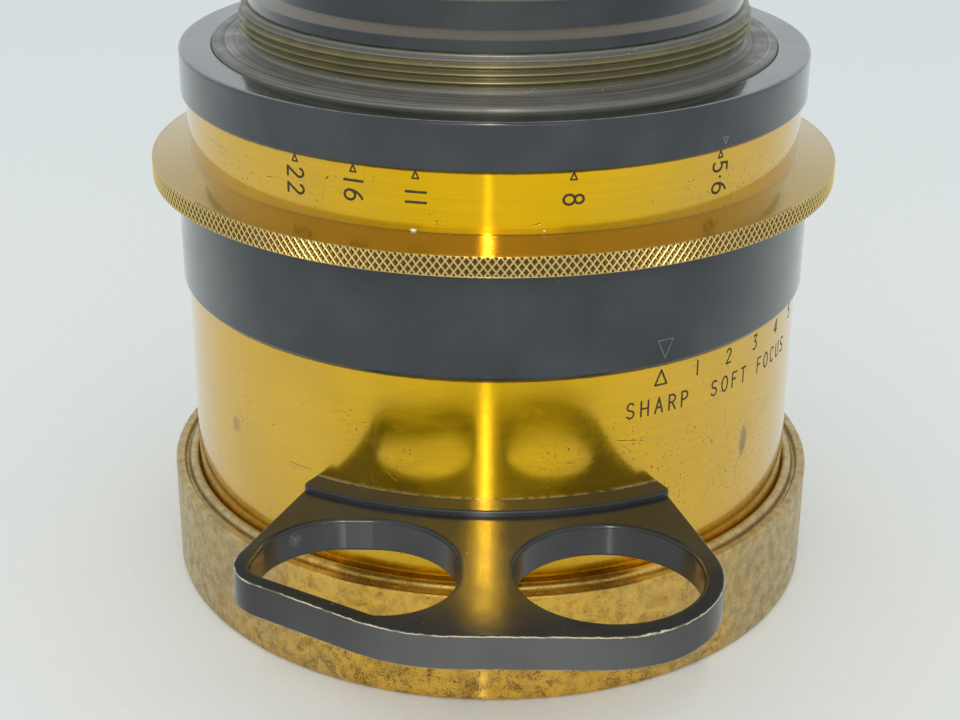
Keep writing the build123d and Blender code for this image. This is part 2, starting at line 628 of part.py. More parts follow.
with BuildPart() as iris_drive_ring:
    ring(DRIVE_INNER, DRIVE_BORE - RUN_GAP, DRIVE_FRONT, DRIVE_REAR)
    slot_middle = (DRIVE_SLOT_INNER + DRIVE_SLOT_OUTER) / 2
    with BuildSketch(Plane.XY.offset(DRIVE_FRONT).rotated((0, 0, BLADE_SPAN))):
        with PolarLocations(slot_middle, BLADE_COUNT):
            SlotCenterToCenter(DRIVE_SLOT_OUTER - DRIVE_SLOT_INNER, DRIVE_SLOT_WIDTH)
    extrude(amount=DRIVE_REAR - DRIVE_FRONT, mode=Mode.SUBTRACT)
    radial_rod(KEY_AZIMUTH, KEY_HEIGHT, KEY_TIP - 0.2, DRIVE_BORE + 1, KEY_RADIUS + SCREW_GAP,
               mode=Mode.SUBTRACT)
save(iris_drive_ring, "iris_drive_ring")

with BuildPart() as iris_retaining_ring:
    ring(36.6, DRIVE_BORE, DRIVE_REAR + 0.2, SPIGOT_FRONT - 0.2)
    spanner_slots(37.6, SPIGOT_FRONT - 1.2, 2.0)
save(iris_retaining_ring, "iris_retaining_ring")

# ---------------------------------------------------------------- front cell, which slides
with BuildPart() as front_carrier:
    ring(CARRIER_BORE, GUIDE_BORE - RUN_GAP, CARRIER_FRONT, CARRIER_REAR)
    for azimuth in CAM_AZIMUTHS:
        radial_rod(azimuth, CAM_HEIGHT, CARRIER_BORE - 1, GUIDE_BORE + 1,
                   CAM_SCREW_RADIUS + SCREW_GAP, mode=Mode.SUBTRACT)
save(front_carrier, "front_carrier")

with BuildPart() as cam_screws:
    for azimuth in CAM_AZIMUTHS:
        radial_rod(azimuth, CAM_HEIGHT, CAM_SCREW_TIP, CAM_SHOULDER_START + 0.1,
                   CAM_SCREW_RADIUS)
        radial_rod(azimuth, CAM_HEIGHT, CAM_SHOULDER_START, CAM_ROLLER_START + 0.1,
                   SHOULDER_RADIUS)
        radial_rod(azimuth, CAM_HEIGHT, CAM_ROLLER_START, CAM_SCREW_FACE, ROLLER_RADIUS)
        screwdriver_slot(azimuth, CAM_HEIGHT, CAM_SCREW_FACE - 0.6, SLEEVE_OUTER, 5.0)
save(cam_screws, "cam_screws")

with BuildPart() as front_cell:
    turned(
        (FRONT_SEAT_RADIUS + 2.6, FRONT_CELL_FACE),
        (FRONT_CELL_RIM - 0.3, FRONT_CELL_FACE),
        (FRONT_CELL_RIM, FRONT_CELL_FACE + 0.3),
        (FRONT_CELL_RIM, CARRIER_FRONT),
        (CARRIER_BORE - RUN_GAP, CARRIER_FRONT),
        (CARRIER_BORE - RUN_GAP, FRONT_CELL_REAR),
        (FRONT_LIP_RADIUS, FRONT_CELL_REAR),
        (FRONT_LIP_RADIUS, FRONT_SEAT),
        (FRONT_SEAT_RADIUS, FRONT_SEAT),
        (FRONT_SEAT_RADIUS, FRONT_CELL_FACE + 2.8),
    )
save(front_cell, "front_cell")

with BuildPart() as front_lens:
    lens_element(FRONT_SEAT_RADIUS - LENS_GAP, 18.5, FRONT_SEAT - LENS_GAP, 90.0, 800.0)
save(front_lens, "front_lens")

with BuildPart() as front_retaining_ring:
    turned(
        (FRONT_LIP_RADIUS, 14.4),
        (FRONT_SEAT_RADIUS - RUN_GAP, 14.4),
        (FRONT_SEAT_RADIUS - RUN_GAP, 18.3),
        (FRONT_LIP_RADIUS, 17.75),
    )
    spanner_slots(30.2, 14.4, 0.9)
save(front_retaining_ring, "front_retaining_ring")

# ---------------------------------------------------------------- middle cell
with BuildPart() as middle_cell:
    turned(
        (MIDDLE_SEAT_RADIUS + 1.8, MIDDLE_CELL_FRONT),
        (MIDDLE_CELL_RIM, MIDDLE_CELL_FRONT),
        (MIDDLE_CELL_RIM, BULKHEAD_FRONT),
        (BULKHEAD_BORE - RUN_GAP, BULKHEAD_FRONT),
        (BULKHEAD_BORE - RUN_GAP, MIDDLE_CELL_REAR),
        (MIDDLE_LIP_RADIUS, MIDDLE_CELL_REAR),
        (MIDDLE_LIP_RADIUS, MIDDLE_SEAT),
        (MIDDLE_SEAT_RADIUS, MIDDLE_SEAT),
        (MIDDLE_SEAT_RADIUS, MIDDLE_CELL_FRONT + 1.2),
    )
save(middle_cell, "middle_cell")

with BuildPart() as middle_lens:
    lens_element(MIDDLE_SEAT_RADIUS - LENS_GAP, 47.0, MIDDLE_SEAT - RUN_GAP, -100.0, -100.0)
save(middle_lens, "middle_lens")

with BuildPart() as middle_retaining_ring:
    ring(MIDDLE_LIP_RADIUS - 0.4, MIDDLE_SEAT_RADIUS - RUN_GAP, 45.4, 46.95)
    spanner_slots(25.8, 45.4, 0.8)
save(middle_retaining_ring, "middle_retaining_ring")

# ---------------------------------------------------------------- rear cell
CELL_FOOT = TUBE_REAR + 0.05
with BuildPart() as rear_cell:
    turned(
        (REAR_LIP_RADIUS, REAR_CELL_FRONT),
        (TUBE_BORE - RUN_GAP, REAR_CELL_FRONT),
        (TUBE_BORE - RUN_GAP, CELL_FOOT),
        (REAR_FLANGE_RADIUS, CELL_FOOT),
        (REAR_FLANGE_RADIUS, REAR_FLANGE_TOP),
        (REAR_BODY_RADIUS, REAR_FLANGE_TOP + 1.1),
        (REAR_BODY_RADIUS, REAR_CELL_TOP - 3.9),
        (REAR_NECK_RADIUS, REAR_CELL_TOP - 3.0),
        (REAR_NECK_RADIUS, REAR_CELL_TOP - 0.4),
        (REAR_NECK_RADIUS - 0.4, REAR_CELL_TOP),
        (REAR_SEAT_RADIUS + 2.0, REAR_CELL_TOP),
        (REAR_SEAT_RADIUS, REAR_CELL_TOP - 7.0),
        (REAR_SEAT_RADIUS, REAR_SEAT),
        (REAR_LIP_RADIUS, REAR_SEAT),
    )
save(rear_cell, "rear_cell")

with BuildPart() as rear_lens:
    lens_element(REAR_SEAT_RADIUS - LENS_GAP, REAR_SEAT + LENS_GAP, 89.5, 400.0, 110.0)
save(rear_lens, "rear_lens")

with BuildPart() as rear_retaining_ring:
    turned(
        (REAR_LIP_RADIUS - 0.4, 93.4),
        (REAR_SEAT_RADIUS - RUN_GAP, 93.4),
        (REAR_SEAT_RADIUS - RUN_GAP, 89.75),
        (REAR_LIP_RADIUS - 0.4, 90.2),
    )
    spanner_slots(29.8, 92.6, 2.0)
save(rear_retaining_ring, "rear_retaining_ring")
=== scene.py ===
"""Looks of the brass portrait lens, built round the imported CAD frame.

Lengths in the tables are millimetres; MM turns them into metres.  Azimuths are degrees about
the optical axis (+Z, towards the rear), measured from the handle (-Y) towards +X.
"""

import math

import bmesh
import bpy
from mathutils import Matrix, Vector


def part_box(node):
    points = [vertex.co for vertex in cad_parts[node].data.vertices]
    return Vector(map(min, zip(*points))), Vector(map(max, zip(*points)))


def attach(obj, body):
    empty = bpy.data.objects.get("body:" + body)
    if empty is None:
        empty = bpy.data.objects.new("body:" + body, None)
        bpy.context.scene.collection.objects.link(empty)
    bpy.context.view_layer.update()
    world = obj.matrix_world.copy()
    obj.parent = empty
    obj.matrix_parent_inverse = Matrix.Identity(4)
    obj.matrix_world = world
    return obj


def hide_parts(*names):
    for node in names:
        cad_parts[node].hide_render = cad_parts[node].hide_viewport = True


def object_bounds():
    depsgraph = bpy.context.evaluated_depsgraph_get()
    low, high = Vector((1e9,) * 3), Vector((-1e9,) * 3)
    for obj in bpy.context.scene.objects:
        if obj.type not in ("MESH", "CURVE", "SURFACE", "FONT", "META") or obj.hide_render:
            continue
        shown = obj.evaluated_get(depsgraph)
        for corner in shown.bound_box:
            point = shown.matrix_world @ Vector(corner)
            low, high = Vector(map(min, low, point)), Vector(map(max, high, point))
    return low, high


MM = 0.001
SEGMENTS = 720                 # facets round a plain turned piece
THREAD_SEGMENTS = 600          # facets round the threaded piece
BEVEL_STEPS = 4
BEVEL_SHARE = 0.45             # largest share of an edge that a bevel may take
HOLD_ROW = 0.05                # distance from a bevel to the row that holds it
SKIN_RADIUS = 47.0             # radius at which the way round is measured
ARC_PER_DEGREE = 0.83          # mm on the barrel's face for a degree round the axis

# Levels above the hood's rim and radii about the axis, in mm.
HOOD_RIM = 17.3                # top of the hood's outer wall
HANDLE_TOP = 30.0
HANDLE_EDGE = 29.6             # foot of the rounding along the handle's top edge
HANDLE_FOOT = 25.5             # top of the rounding along its bottom edge
HOLES_X = (-16.8, 15.5)        # middles of the handle's two holes
HOLES_Y = -65.0
FLANGE_REAR = 68.05
SCALE_RADIUS = 46.44
SCALE_FOOT = 69.05
SHOULDER_WIDTH = 5.45          # from the knurled rim in to the foot of the scale
KNURL_EDGE = 0.06              # chamfer of the knurled rim
KNURL_DEPTH = 0.32
KNURL_BAND = 0.40              # depth of rim that has the knurl's look
HOOD_BORE = 48.9
HOOD_SEAT = 46.0
HOOD_MOUTH = 4.2               # depth of the hood's wider mouth
BARREL_BORE = 45.1
NAME_RING_BORE = 45.95
SCALE_BORE = 43.5
ANNULUS_RADIUS = 42.3
INDEX_STEP = 79.1              # level of the shoulder inside the index ring
ANNULUS = 84.9                 # flat face round the mounting thread
THREAD_FOOT = 85.6
THREAD_TOP = 90.0
THREAD_CREST_RADIUS = 38.1
MOUNT_RIM = 90.5

# Colours of wear and dirt, and of painted shade and highlights: linear red, green and blue.
PIT = (0.06, 0.035, 0.008)
STAIN = (0.10, 0.075, 0.035)
# painted shade under an overhanging ring
UNDERHANG_SHADE = (0.035, 0.018, 0.006)
KNURL_HOLLOW = (0.155, 0.098, 0.028)
KNURL_CREST = (0.92, 0.68, 0.24)
# painted shade on the flange's shoulder cone
SHOULDER_SHADE = (0.34, 0.235, 0.07)
FOOT_LINE = (0.12, 0.07, 0.02)
NICK = (0.86, 0.85, 0.82)
DUST = (0.42, 0.41, 0.38)
DUST_FILM = (0.120, 0.099, 0.070)
# painted highlight along an edge
EDGE_HIGHLIGHT = (0.17, 0.17, 0.16)
# painted highlight on the middle of the handle's front wall
FRONT_HIGHLIGHT = (0.092, 0.092, 0.090)
BARE_EDGE = (0.52, 0.45, 0.28)
JOINT_DUST = (0.30, 0.27, 0.19)
CORROSION = (0.20, 0.22, 0.16)

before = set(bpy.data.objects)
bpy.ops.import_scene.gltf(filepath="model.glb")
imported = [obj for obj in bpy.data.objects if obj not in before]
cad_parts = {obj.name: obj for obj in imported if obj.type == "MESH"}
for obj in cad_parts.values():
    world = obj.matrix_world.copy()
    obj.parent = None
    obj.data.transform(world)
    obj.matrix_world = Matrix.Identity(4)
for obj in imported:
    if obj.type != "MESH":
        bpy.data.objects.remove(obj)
cad_low, cad_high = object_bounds()


def size(node):
    """Greatest radius, lowest and highest level of a node about the optical axis, in mm."""
    low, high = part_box(node)
    return high.x / MM, low.z / MM, high.z / MM


# ---- meshes
def softened(outline):
    """Corners (radius, height, bevel) to points, with the bevels rounded and held by close rows.

    A corner without a bevel value is a plain point of a finished run, and is left as it is.
    """
    points = []
    count = len(outline)
    for index, (radius, height, bevel) in enumerate(outline):
        corner = Vector((radius, height))
        if bevel is None:
            points.append(corner)
            continue
        back = Vector(outline[index - 1][:2]) - corner
        ahead = Vector(outline[(index + 1) % count][:2]) - corner
        reach_back = min(bevel, back.length * BEVEL_SHARE)
        reach_ahead = min(bevel, ahead.length * BEVEL_SHARE)
        start = corner + back.normalized() * reach_back
        end = corner + ahead.normalized() * reach_ahead
        if back.length * BEVEL_SHARE > reach_back + HOLD_ROW:
            points.append(corner + back.normalized() * (reach_back + HOLD_ROW))
        steps = BEVEL_STEPS if bevel else 0
        for step in range(steps + 1):
            t = step / max(steps, 1)
            points.append(start * (1 - t) ** 2 + corner * 2 * t * (1 - t) + end * t ** 2)
        if ahead.length * BEVEL_SHARE > reach_ahead + HOLD_ROW:
            points.append(corner + ahead.normalized() * (reach_ahead + HOLD_ROW))
    return points


def mesh_piece(name, vertices, faces, material, flat_faces=()):
    """New object from vertices in mm; its faces are turned outward and shaded smooth."""
    mesh = bpy.data.meshes.new(name)
    mesh.from_pydata([Vector(v) * MM for v in vertices], [], faces)
    work = bmesh.new()
    work.from_mesh(mesh)
    bmesh.ops.recalc_face_normals(work, faces=work.faces)
    work.faces.ensure_lookup_table()
    for face in work.faces:
        face.smooth = True
    for index in flat_faces:
        work.faces[index].smooth = False
    work.to_mesh(mesh)
    work.free()
    piece = bpy.data.objects.new(name, mesh)
    bpy.context.scene.collection.objects.link(piece)
    mesh.materials.append(material)
    return piece


def round_axis(rows, segments):
    """Vertices and quads of closed rows of (radius, height), one row per segment."""
    vertices, faces = [], []
    width = len(rows[0])
    for segment in range(segments):
        angle = math.tau * segment / segments
        across, along = math.sin(angle), -math.cos(angle)
        for radius, height in rows[segment % len(rows)]:
            vertices.append((radius * across, radius * along, height))
    for segment in range(segments):
        here, there = segment * width, (segment + 1) % segments * width
        for index in range(width):
            other = (index + 1) % width
            faces.append((here + index, here + other, there + other, there + index))
    return vertices, faces


def lathe(name, outline, material):
    """Closed turned piece from (radius, height, bevel) corners."""
    row = [tuple(point) for point in softened(outline)]
    vertices, faces = round_axis([row], SEGMENTS)
    return mesh_piece(name, vertices, faces, material)


def place(piece, body, slot, *nodes):
    """Hang a piece on its body and let it stand for its CAD nodes."""
    if nodes:
        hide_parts(*nodes)
    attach(piece, body)


# ---- shader nodes
class Shade:
    """A material's node tree, with short ways to add and join nodes."""

    def __init__(self, name):
        self.material = bpy.data.materials.new(name)
        self.material.use_nodes = True
        self.tree = self.material.node_tree
        self.tree.nodes.clear()
        self.output = self.tree.nodes.new("ShaderNodeOutputMaterial")
        place_node = self.add("TexCoord")
        scaled = self.add("VectorMath", {0: place_node.outputs["Object"], "Scale": 1 / MM},
                          operation="SCALE")
        self.position = scaled.outputs[0]
        split = self.add("SeparateXYZ", {0: self.position})
        self.x, self.y, self.z = split.outputs
        self.radius = self.hypot(self.x, self.y)
        turn = self.math("ARCTAN2", self.x, self.times(self.y, -1.0))
        self.azimuth = self.times(turn, 180 / math.pi)

    def add(self, kind, inputs=(), **settings):
        node = self.tree.nodes.new("ShaderNode" + kind)
        for key, value in settings.items():
            setattr(node, key, value)
        for key, value in dict(inputs).items():
            if isinstance(value, bpy.types.NodeSocket):
                self.tree.links.new(value, node.inputs[key])
            else:
                node.inputs[key].default_value = value
        return node

    def math(self, operation, first, second=0.0, clamp=False):
        return self.add("Math", {0: first, 1: second}, operation=operation,
                        use_clamp=clamp).outputs[0]

    def plus(self, first, second, clamp=False):
        return self.math("ADD", first, second, clamp)

    def minus(self, first, second, clamp=False):
        return self.math("SUBTRACT", first, second, clamp)

    def times(self, first, second):
        return self.math("MULTIPLY", first, second)

    def larger(self, first, second):
        return self.math("MAXIMUM", first, second)

    def hypot(self, first, second):
        return self.math("SQRT", self.plus(self.times(first, first), self.times(second, second)))

    def span(self, value, low, high, out_low=0.0, out_high=1.0, smooth=True):
        """Map a value from one span to another, clamped."""
        kind = "SMOOTHSTEP" if smooth else "LINEAR"
        node = self.add("MapRange", {"Value": value, "From Min": low, "From Max": high,
                                     "To Min": out_low, "To Max": out_high},
                        interpolation_type=kind)
        return node.outputs[0]

    def stretch(self, across, up):
        """Position scaled across and along the optical axis."""
        return self.add("Mapping", {"Vector": self.position,
                                    "Scale": (across, across, up)}).outputs[0]

    def skin(self, along, up, tilt):
        """Flat coordinates on a turned face: way round (mm), height and radius."""
        way = self.times(self.azimuth, math.pi / 180 * SKIN_RADIUS)
        level = self.plus(self.z, self.radius)
        flat = self.add("CombineXYZ", {0: way, 1: level, 2: self.radius}).outputs[0]
        return self.add("Mapping", {"Vector": flat, "Rotation": (0, 0, tilt),
                                    "Scale": (along, up, 1.0)}, vector_type="TEXTURE").outputs[0]

    def turning(self, fine, drift=0.02):
        """Coordinates whose pattern runs round the axis as lathe marks do."""
        return self.add("CombineXYZ", {
            0: self.times(self.radius, fine),
            1: self.times(self.z, fine),
            2: self.times(self.azimuth, drift)}).outputs[0]

    def noise(self, vector, scale=1.0, detail=2.0, roughness=0.5, distortion=0.0):
        return self.add("TexNoise", {"Vector": vector, "Scale": scale, "Detail": detail,
                                     "Roughness": roughness, "Distortion": distortion}).outputs[0]

    def blend(self, factor, first, second):
        """Mix of two colours."""
        node = self.add("Mix", data_type="RGBA", blend_type="MIX")
        for socket, value in ((node.inputs[0], factor), (node.inputs[6], first),
                              (node.inputs[7], second)):
            if isinstance(value, bpy.types.NodeSocket):
                self.tree.links.new(value, socket)
            elif socket == node.inputs[0]:
                socket.default_value = value
            else:
                socket.default_value = (*value, 1.0)
        return node.outputs[2]

    def spot(self, azimuth, height, wide, tall, ragged=0.35):
        """Soft patch on a turned face, with a ragged edge."""
        aside = self.math("DIVIDE", self.minus(self.azimuth, azimuth), wide)
        above = self.math("DIVIDE", self.minus(self.z, height), tall)
        edge = self.noise(self.position, 1.4, 3.0)
        ragged_far = self.plus(self.hypot(aside, above), self.times(edge, ragged * 2))
        return self.span(ragged_far, 1.0 + ragged, 0.35 + ragged)

    def scratch(self, start, end, width):
        """Thin line between two (azimuth, height) points of a turned face."""
        middle = ((start[0] + end[0]) / 2, (start[1] + end[1]) / 2)
        across = (end[0] - start[0]) * ARC_PER_DEGREE
        rise = end[1] - start[1]
        length = math.hypot(across, rise)
        aside = self.times(self.minus(self.azimuth, middle[0]), ARC_PER_DEGREE)
        above = self.minus(self.z, middle[1])
        along = self.plus(self.times(aside, across / length), self.times(above, rise / length))
        off = self.minus(self.times(above, across / length), self.times(aside, rise / length))
        waver = self.times(self.minus(self.noise(self.position, 1.2), 0.5), width * 2)
        off = self.math("ABSOLUTE", self.plus(off, waver))
        along = self.math("ABSOLUTE", along)
        broken = self.span(self.noise(self.position, 2.0, 2.0), 0.38, 0.5)
        line = self.times(self.span(off, width, width * 0.3),
                          self.span(along, length / 2, length / 2 - 0.3))
        return self.times(line, broken)

    def bump(self, height, distance, **inputs):
        return self.add("Bump", {"Height": height, "Distance": distance * MM, "Strength": 1.0,
                                 **inputs}).outputs[0]

    def around(self):
        """Tangent that runs round the optical axis."""
        return self.add("Tangent", direction_type="RADIAL", axis="Z").outputs[0]

    def principled(self, **inputs):
        names = {key.replace("_", " "): value for key, value in inputs.items()}
        return self.add("BsdfPrincipled", names)

    def brushed(self, tone, roughness, anisotropy, **inputs):
        """Metal sheen that turning or milling marks spread across themselves."""
        return self.add("BsdfAnisotropic", {"Color": tone, "Roughness": roughness,
                                            "Anisotropy": anisotropy, **inputs})

    def mixed(self, share, first, second):
        """Two shaders, with the share of the second, as the finished material."""
        both = self.add("MixShader", {0: share, 1: first.outputs[0], 2: second.outputs[0]})
        return self.finish(both)

    def finish(self, shader):
        self.tree.links.new(shader.outputs[0], self.output.inputs["Surface"])
        return self.material


def dots(s, scale, share, radius, channel=0):
    """Mask of scattered round dots: their density per mm, share of cells and radius in mm."""
    cells = s.add("TexVoronoi", {"Vector": s.position, "Scale": scale, "Randomness": 1.0},
                  feature="F1")
    rare = s.add("SeparateXYZ", {0: cells.outputs["Color"]}).outputs[channel]
    reach = s.span(rare, 1 - share, 1.0, radius * scale * 0.4, radius * scale, smooth=False)
    inside = s.span(s.minus(cells.outputs["Distance"], reach), 0.02 * scale, 0.0)
    return s.times(inside, s.span(rare, 1 - share, 1.005 - share))


def pits_and_scratches(s, amount, worn_patches):
    """Mask of small dark pits and short fine scratches in the lacquer, dense in places."""
    where = s.noise(s.position, 0.10, 2.0)
    dense = s.span(where, 0.52, 0.66)
    for patch in worn_patches:
        dense = s.larger(dense, s.spot(*patch))
    pits = s.larger(dots(s, 1.1, 0.50, 0.14), dots(s, 1.9, 0.45, 0.10, 1))
    pits = s.times(pits, dense)
    pits = s.larger(pits, dots(s, 0.42, 0.20, 0.15))
    marks = None
    for tilt, seed in ((0.15, 3.0), (1.45, 19.0), (-0.75, 41.0)):
        lines = s.add("VectorMath", {0: s.skin(3.2, 0.11, tilt), 1: (seed, seed, 0.0)},
                      operation="ADD").outputs[0]
        line = s.span(s.noise(lines, 1.0, 1.0, 0.4), 0.735, 0.77)
        marks = line if marks is None else s.larger(marks, line)
    marks = s.times(marks, s.times(dense, amount))
    return s.larger(pits, marks)


def brass(name, golden, tarnish, roughness, streak, patches, scratches, painted_shade,
          pitted=0.5, stains=(), nicks=(), knurl_radius=None):
    """Turned and lacquered brass: polished metal, fine lathe marks and a clear coat.

    Places are azimuth and height.  A stain adds its half width, half height and depth, a patch
    or a nick its half width and half height; a scratch runs between two places and has a width.
    Painted shade under the ring above is a pair of levels between which it darkens; it stays dark
    above them.
    """
    s = Shade(name)
    cloud = s.noise(s.position, 0.06, 3.0)
    lines = s.noise(s.turning(6.0), 1.0, 3.0, 0.65)
    fine = s.noise(s.turning(34.0, 0.05), 1.0, 2.0, 0.6)
    base = s.blend(s.span(cloud, 0.3, 0.7), golden, tuple(c * 0.90 for c in golden))
    base = s.blend(s.span(lines, 0.35, 0.75, 0.0, 0.26), base, tarnish)
    base = s.blend(s.span(fine, 0.40, 0.75, 0.0, 0.14), base, tarnish)
    marks = pits_and_scratches(s, pitted, patches)
    for mark in scratches:
        marks = s.larger(marks, s.scratch(*mark))
    base = s.blend(s.times(marks, 0.85), base, PIT)
    dull = s.times(marks, 0.3)
    for azimuth, height, wide, tall, depth in stains:
        stain = s.times(s.spot(azimuth, height, wide, tall), depth)
        base = s.blend(stain, base, STAIN)
        dull = s.larger(dull, s.times(stain, 0.4))
    # Painted shade: the metal darkens just under the overhanging ring above it.
    for shade_start, shade_full in painted_shade:
        uneven = s.times(s.minus(s.noise(s.position, 1.5, 3.0), 0.5), 0.15)
        level = s.plus(s.z, uneven)
        base = s.blend(s.span(level, shade_start, shade_full, 0.0, 0.9), base, UNDERHANG_SHADE)
    smears = s.noise(s.stretch(0.12, 0.35), 1.0, 4.0, 0.6)
    polish = s.plus(s.span(smears, 0.35, 0.75, roughness * 0.85, roughness * 1.25), dull)
    grooves = s.bump(s.plus(fine, s.times(lines, 0.5)), 0.0012)
    dents = s.bump(s.times(marks, -1.0), 0.03, Normal=grooves)
    facing = s.add("LayerWeight", {"Blend": 0.5}).outputs["Facing"]
    coat = s.span(facing, 0.08, 0.30, smooth=False)
    metal = 1.0
    if knurl_radius is not None:
        knurl_top = FLANGE_REAR - KNURL_EDGE
        band = knurl_radius - KNURL_BAND
        knurled = s.span(s.radius, band, band + 0.04)
        knurled = s.times(knurled, s.span(s.z, knurl_top, knurl_top - 0.01))
        ridge = s.span(s.radius, knurl_radius - 0.13, knurl_radius - 0.01)
        bare = s.blend(ridge, KNURL_HOLLOW, KNURL_CREST)
        foot_radius = knurl_radius - SHOULDER_WIDTH
        cone = s.span(s.radius, foot_radius, foot_radius + 0.15)
        # Painted shade: the shoulder cone is darkened for its dim reflection of the scale wall.
        base = s.blend(s.times(cone, 0.65), base, SHOULDER_SHADE)
        coat = s.times(coat, s.span(cone, 0.0, 1.0, 1.0, 0.5))
        above_foot = s.minus(s.z, SCALE_FOOT + 0.05)
        foot = s.span(s.math("ABSOLUTE", above_foot), 0.14, 0.05, 0.0, 0.6)
        base = s.blend(foot, base, FOOT_LINE)
        base = s.blend(knurled, base, bare)
        polish = s.larger(polish, s.times(cone, 0.19))
        streak = s.span(cone, 0.0, 1.0, streak, 0.03)
        polish = s.larger(polish, s.times(knurled, 0.40))
    for azimuth, height, wide, tall in nicks:
        nick = s.spot(azimuth, height, wide, tall, 0.2)
        base = s.blend(nick, base, NICK)
        metal = s.minus(metal, nick, clamp=True)
    mirror = s.principled(Base_Color=base, Metallic=metal, Roughness=polish, Normal=dents,
                          Coat_Weight=coat, Coat_Roughness=0.06, Coat_IOR=1.6,
                          Anisotropic=0.9, Anisotropic_Rotation=0.25, Tangent=s.around())
    sheen = s.brushed(base, 0.23, 0.9, Normal=grooves, Tangent=s.around())
    return s.mixed(streak, mirror, sheen)


# Corrosion on the handle: place in mm, reach in mm and strength.
VERDIGRIS = (((-26.45, -54.9, 28.0), 1.4, 0.45), ((20.3, -81.4, 27.5), 1.2, 0.30))


def worn_outline(s):
    """Mask of the handle's outer edges, where the enamel has gone: top front and bottom."""
    normal = s.add("NewGeometry").outputs["Normal"]
    lean_x, lean_y, lean_z = s.add("SeparateXYZ", {0: normal}).outputs
    on_right = s.math("GREATER_THAN", s.x, 1.0)
    hole_x = s.span(on_right, 0.0, 1.0, *HOLES_X, smooth=False)
    outward = s.plus(s.times(lean_x, s.minus(s.x, hole_x)),
                     s.times(lean_y, s.minus(s.y, HOLES_Y)))
    outside = s.span(outward, 0.0, 1.0)
    front = s.span(s.y, -52.0, -60.0)
    chips = s.noise(s.position, 0.8, 4.0, 0.65)
    upright = s.math("ABSOLUTE", lean_z)
    lean = s.plus(upright, s.minus(chips, 0.5))
    rim = s.times(s.span(lean, 0.34, 0.46), s.span(lean, 0.84, 0.72))
    rim = s.times(rim, s.span(s.noise(s.position, 0.33, 3.0), 0.36, 0.50, 0.25, 1.0))
    slanted = s.times(s.span(upright, 0.995, 0.96), s.span(upright, 0.02, 0.10))
    level = s.larger(s.span(s.z, HANDLE_EDGE, HANDLE_EDGE + 0.08),
                     s.span(s.z, HANDLE_FOOT, HANDLE_FOOT - 0.08, 0.0, 0.45))
    edge = s.times(s.times(rim, slanted), level)
    flat = s.math("LESS_THAN", s.z, HANDLE_TOP + 0.03)
    return s.times(s.times(edge, outside), s.times(front, flat))


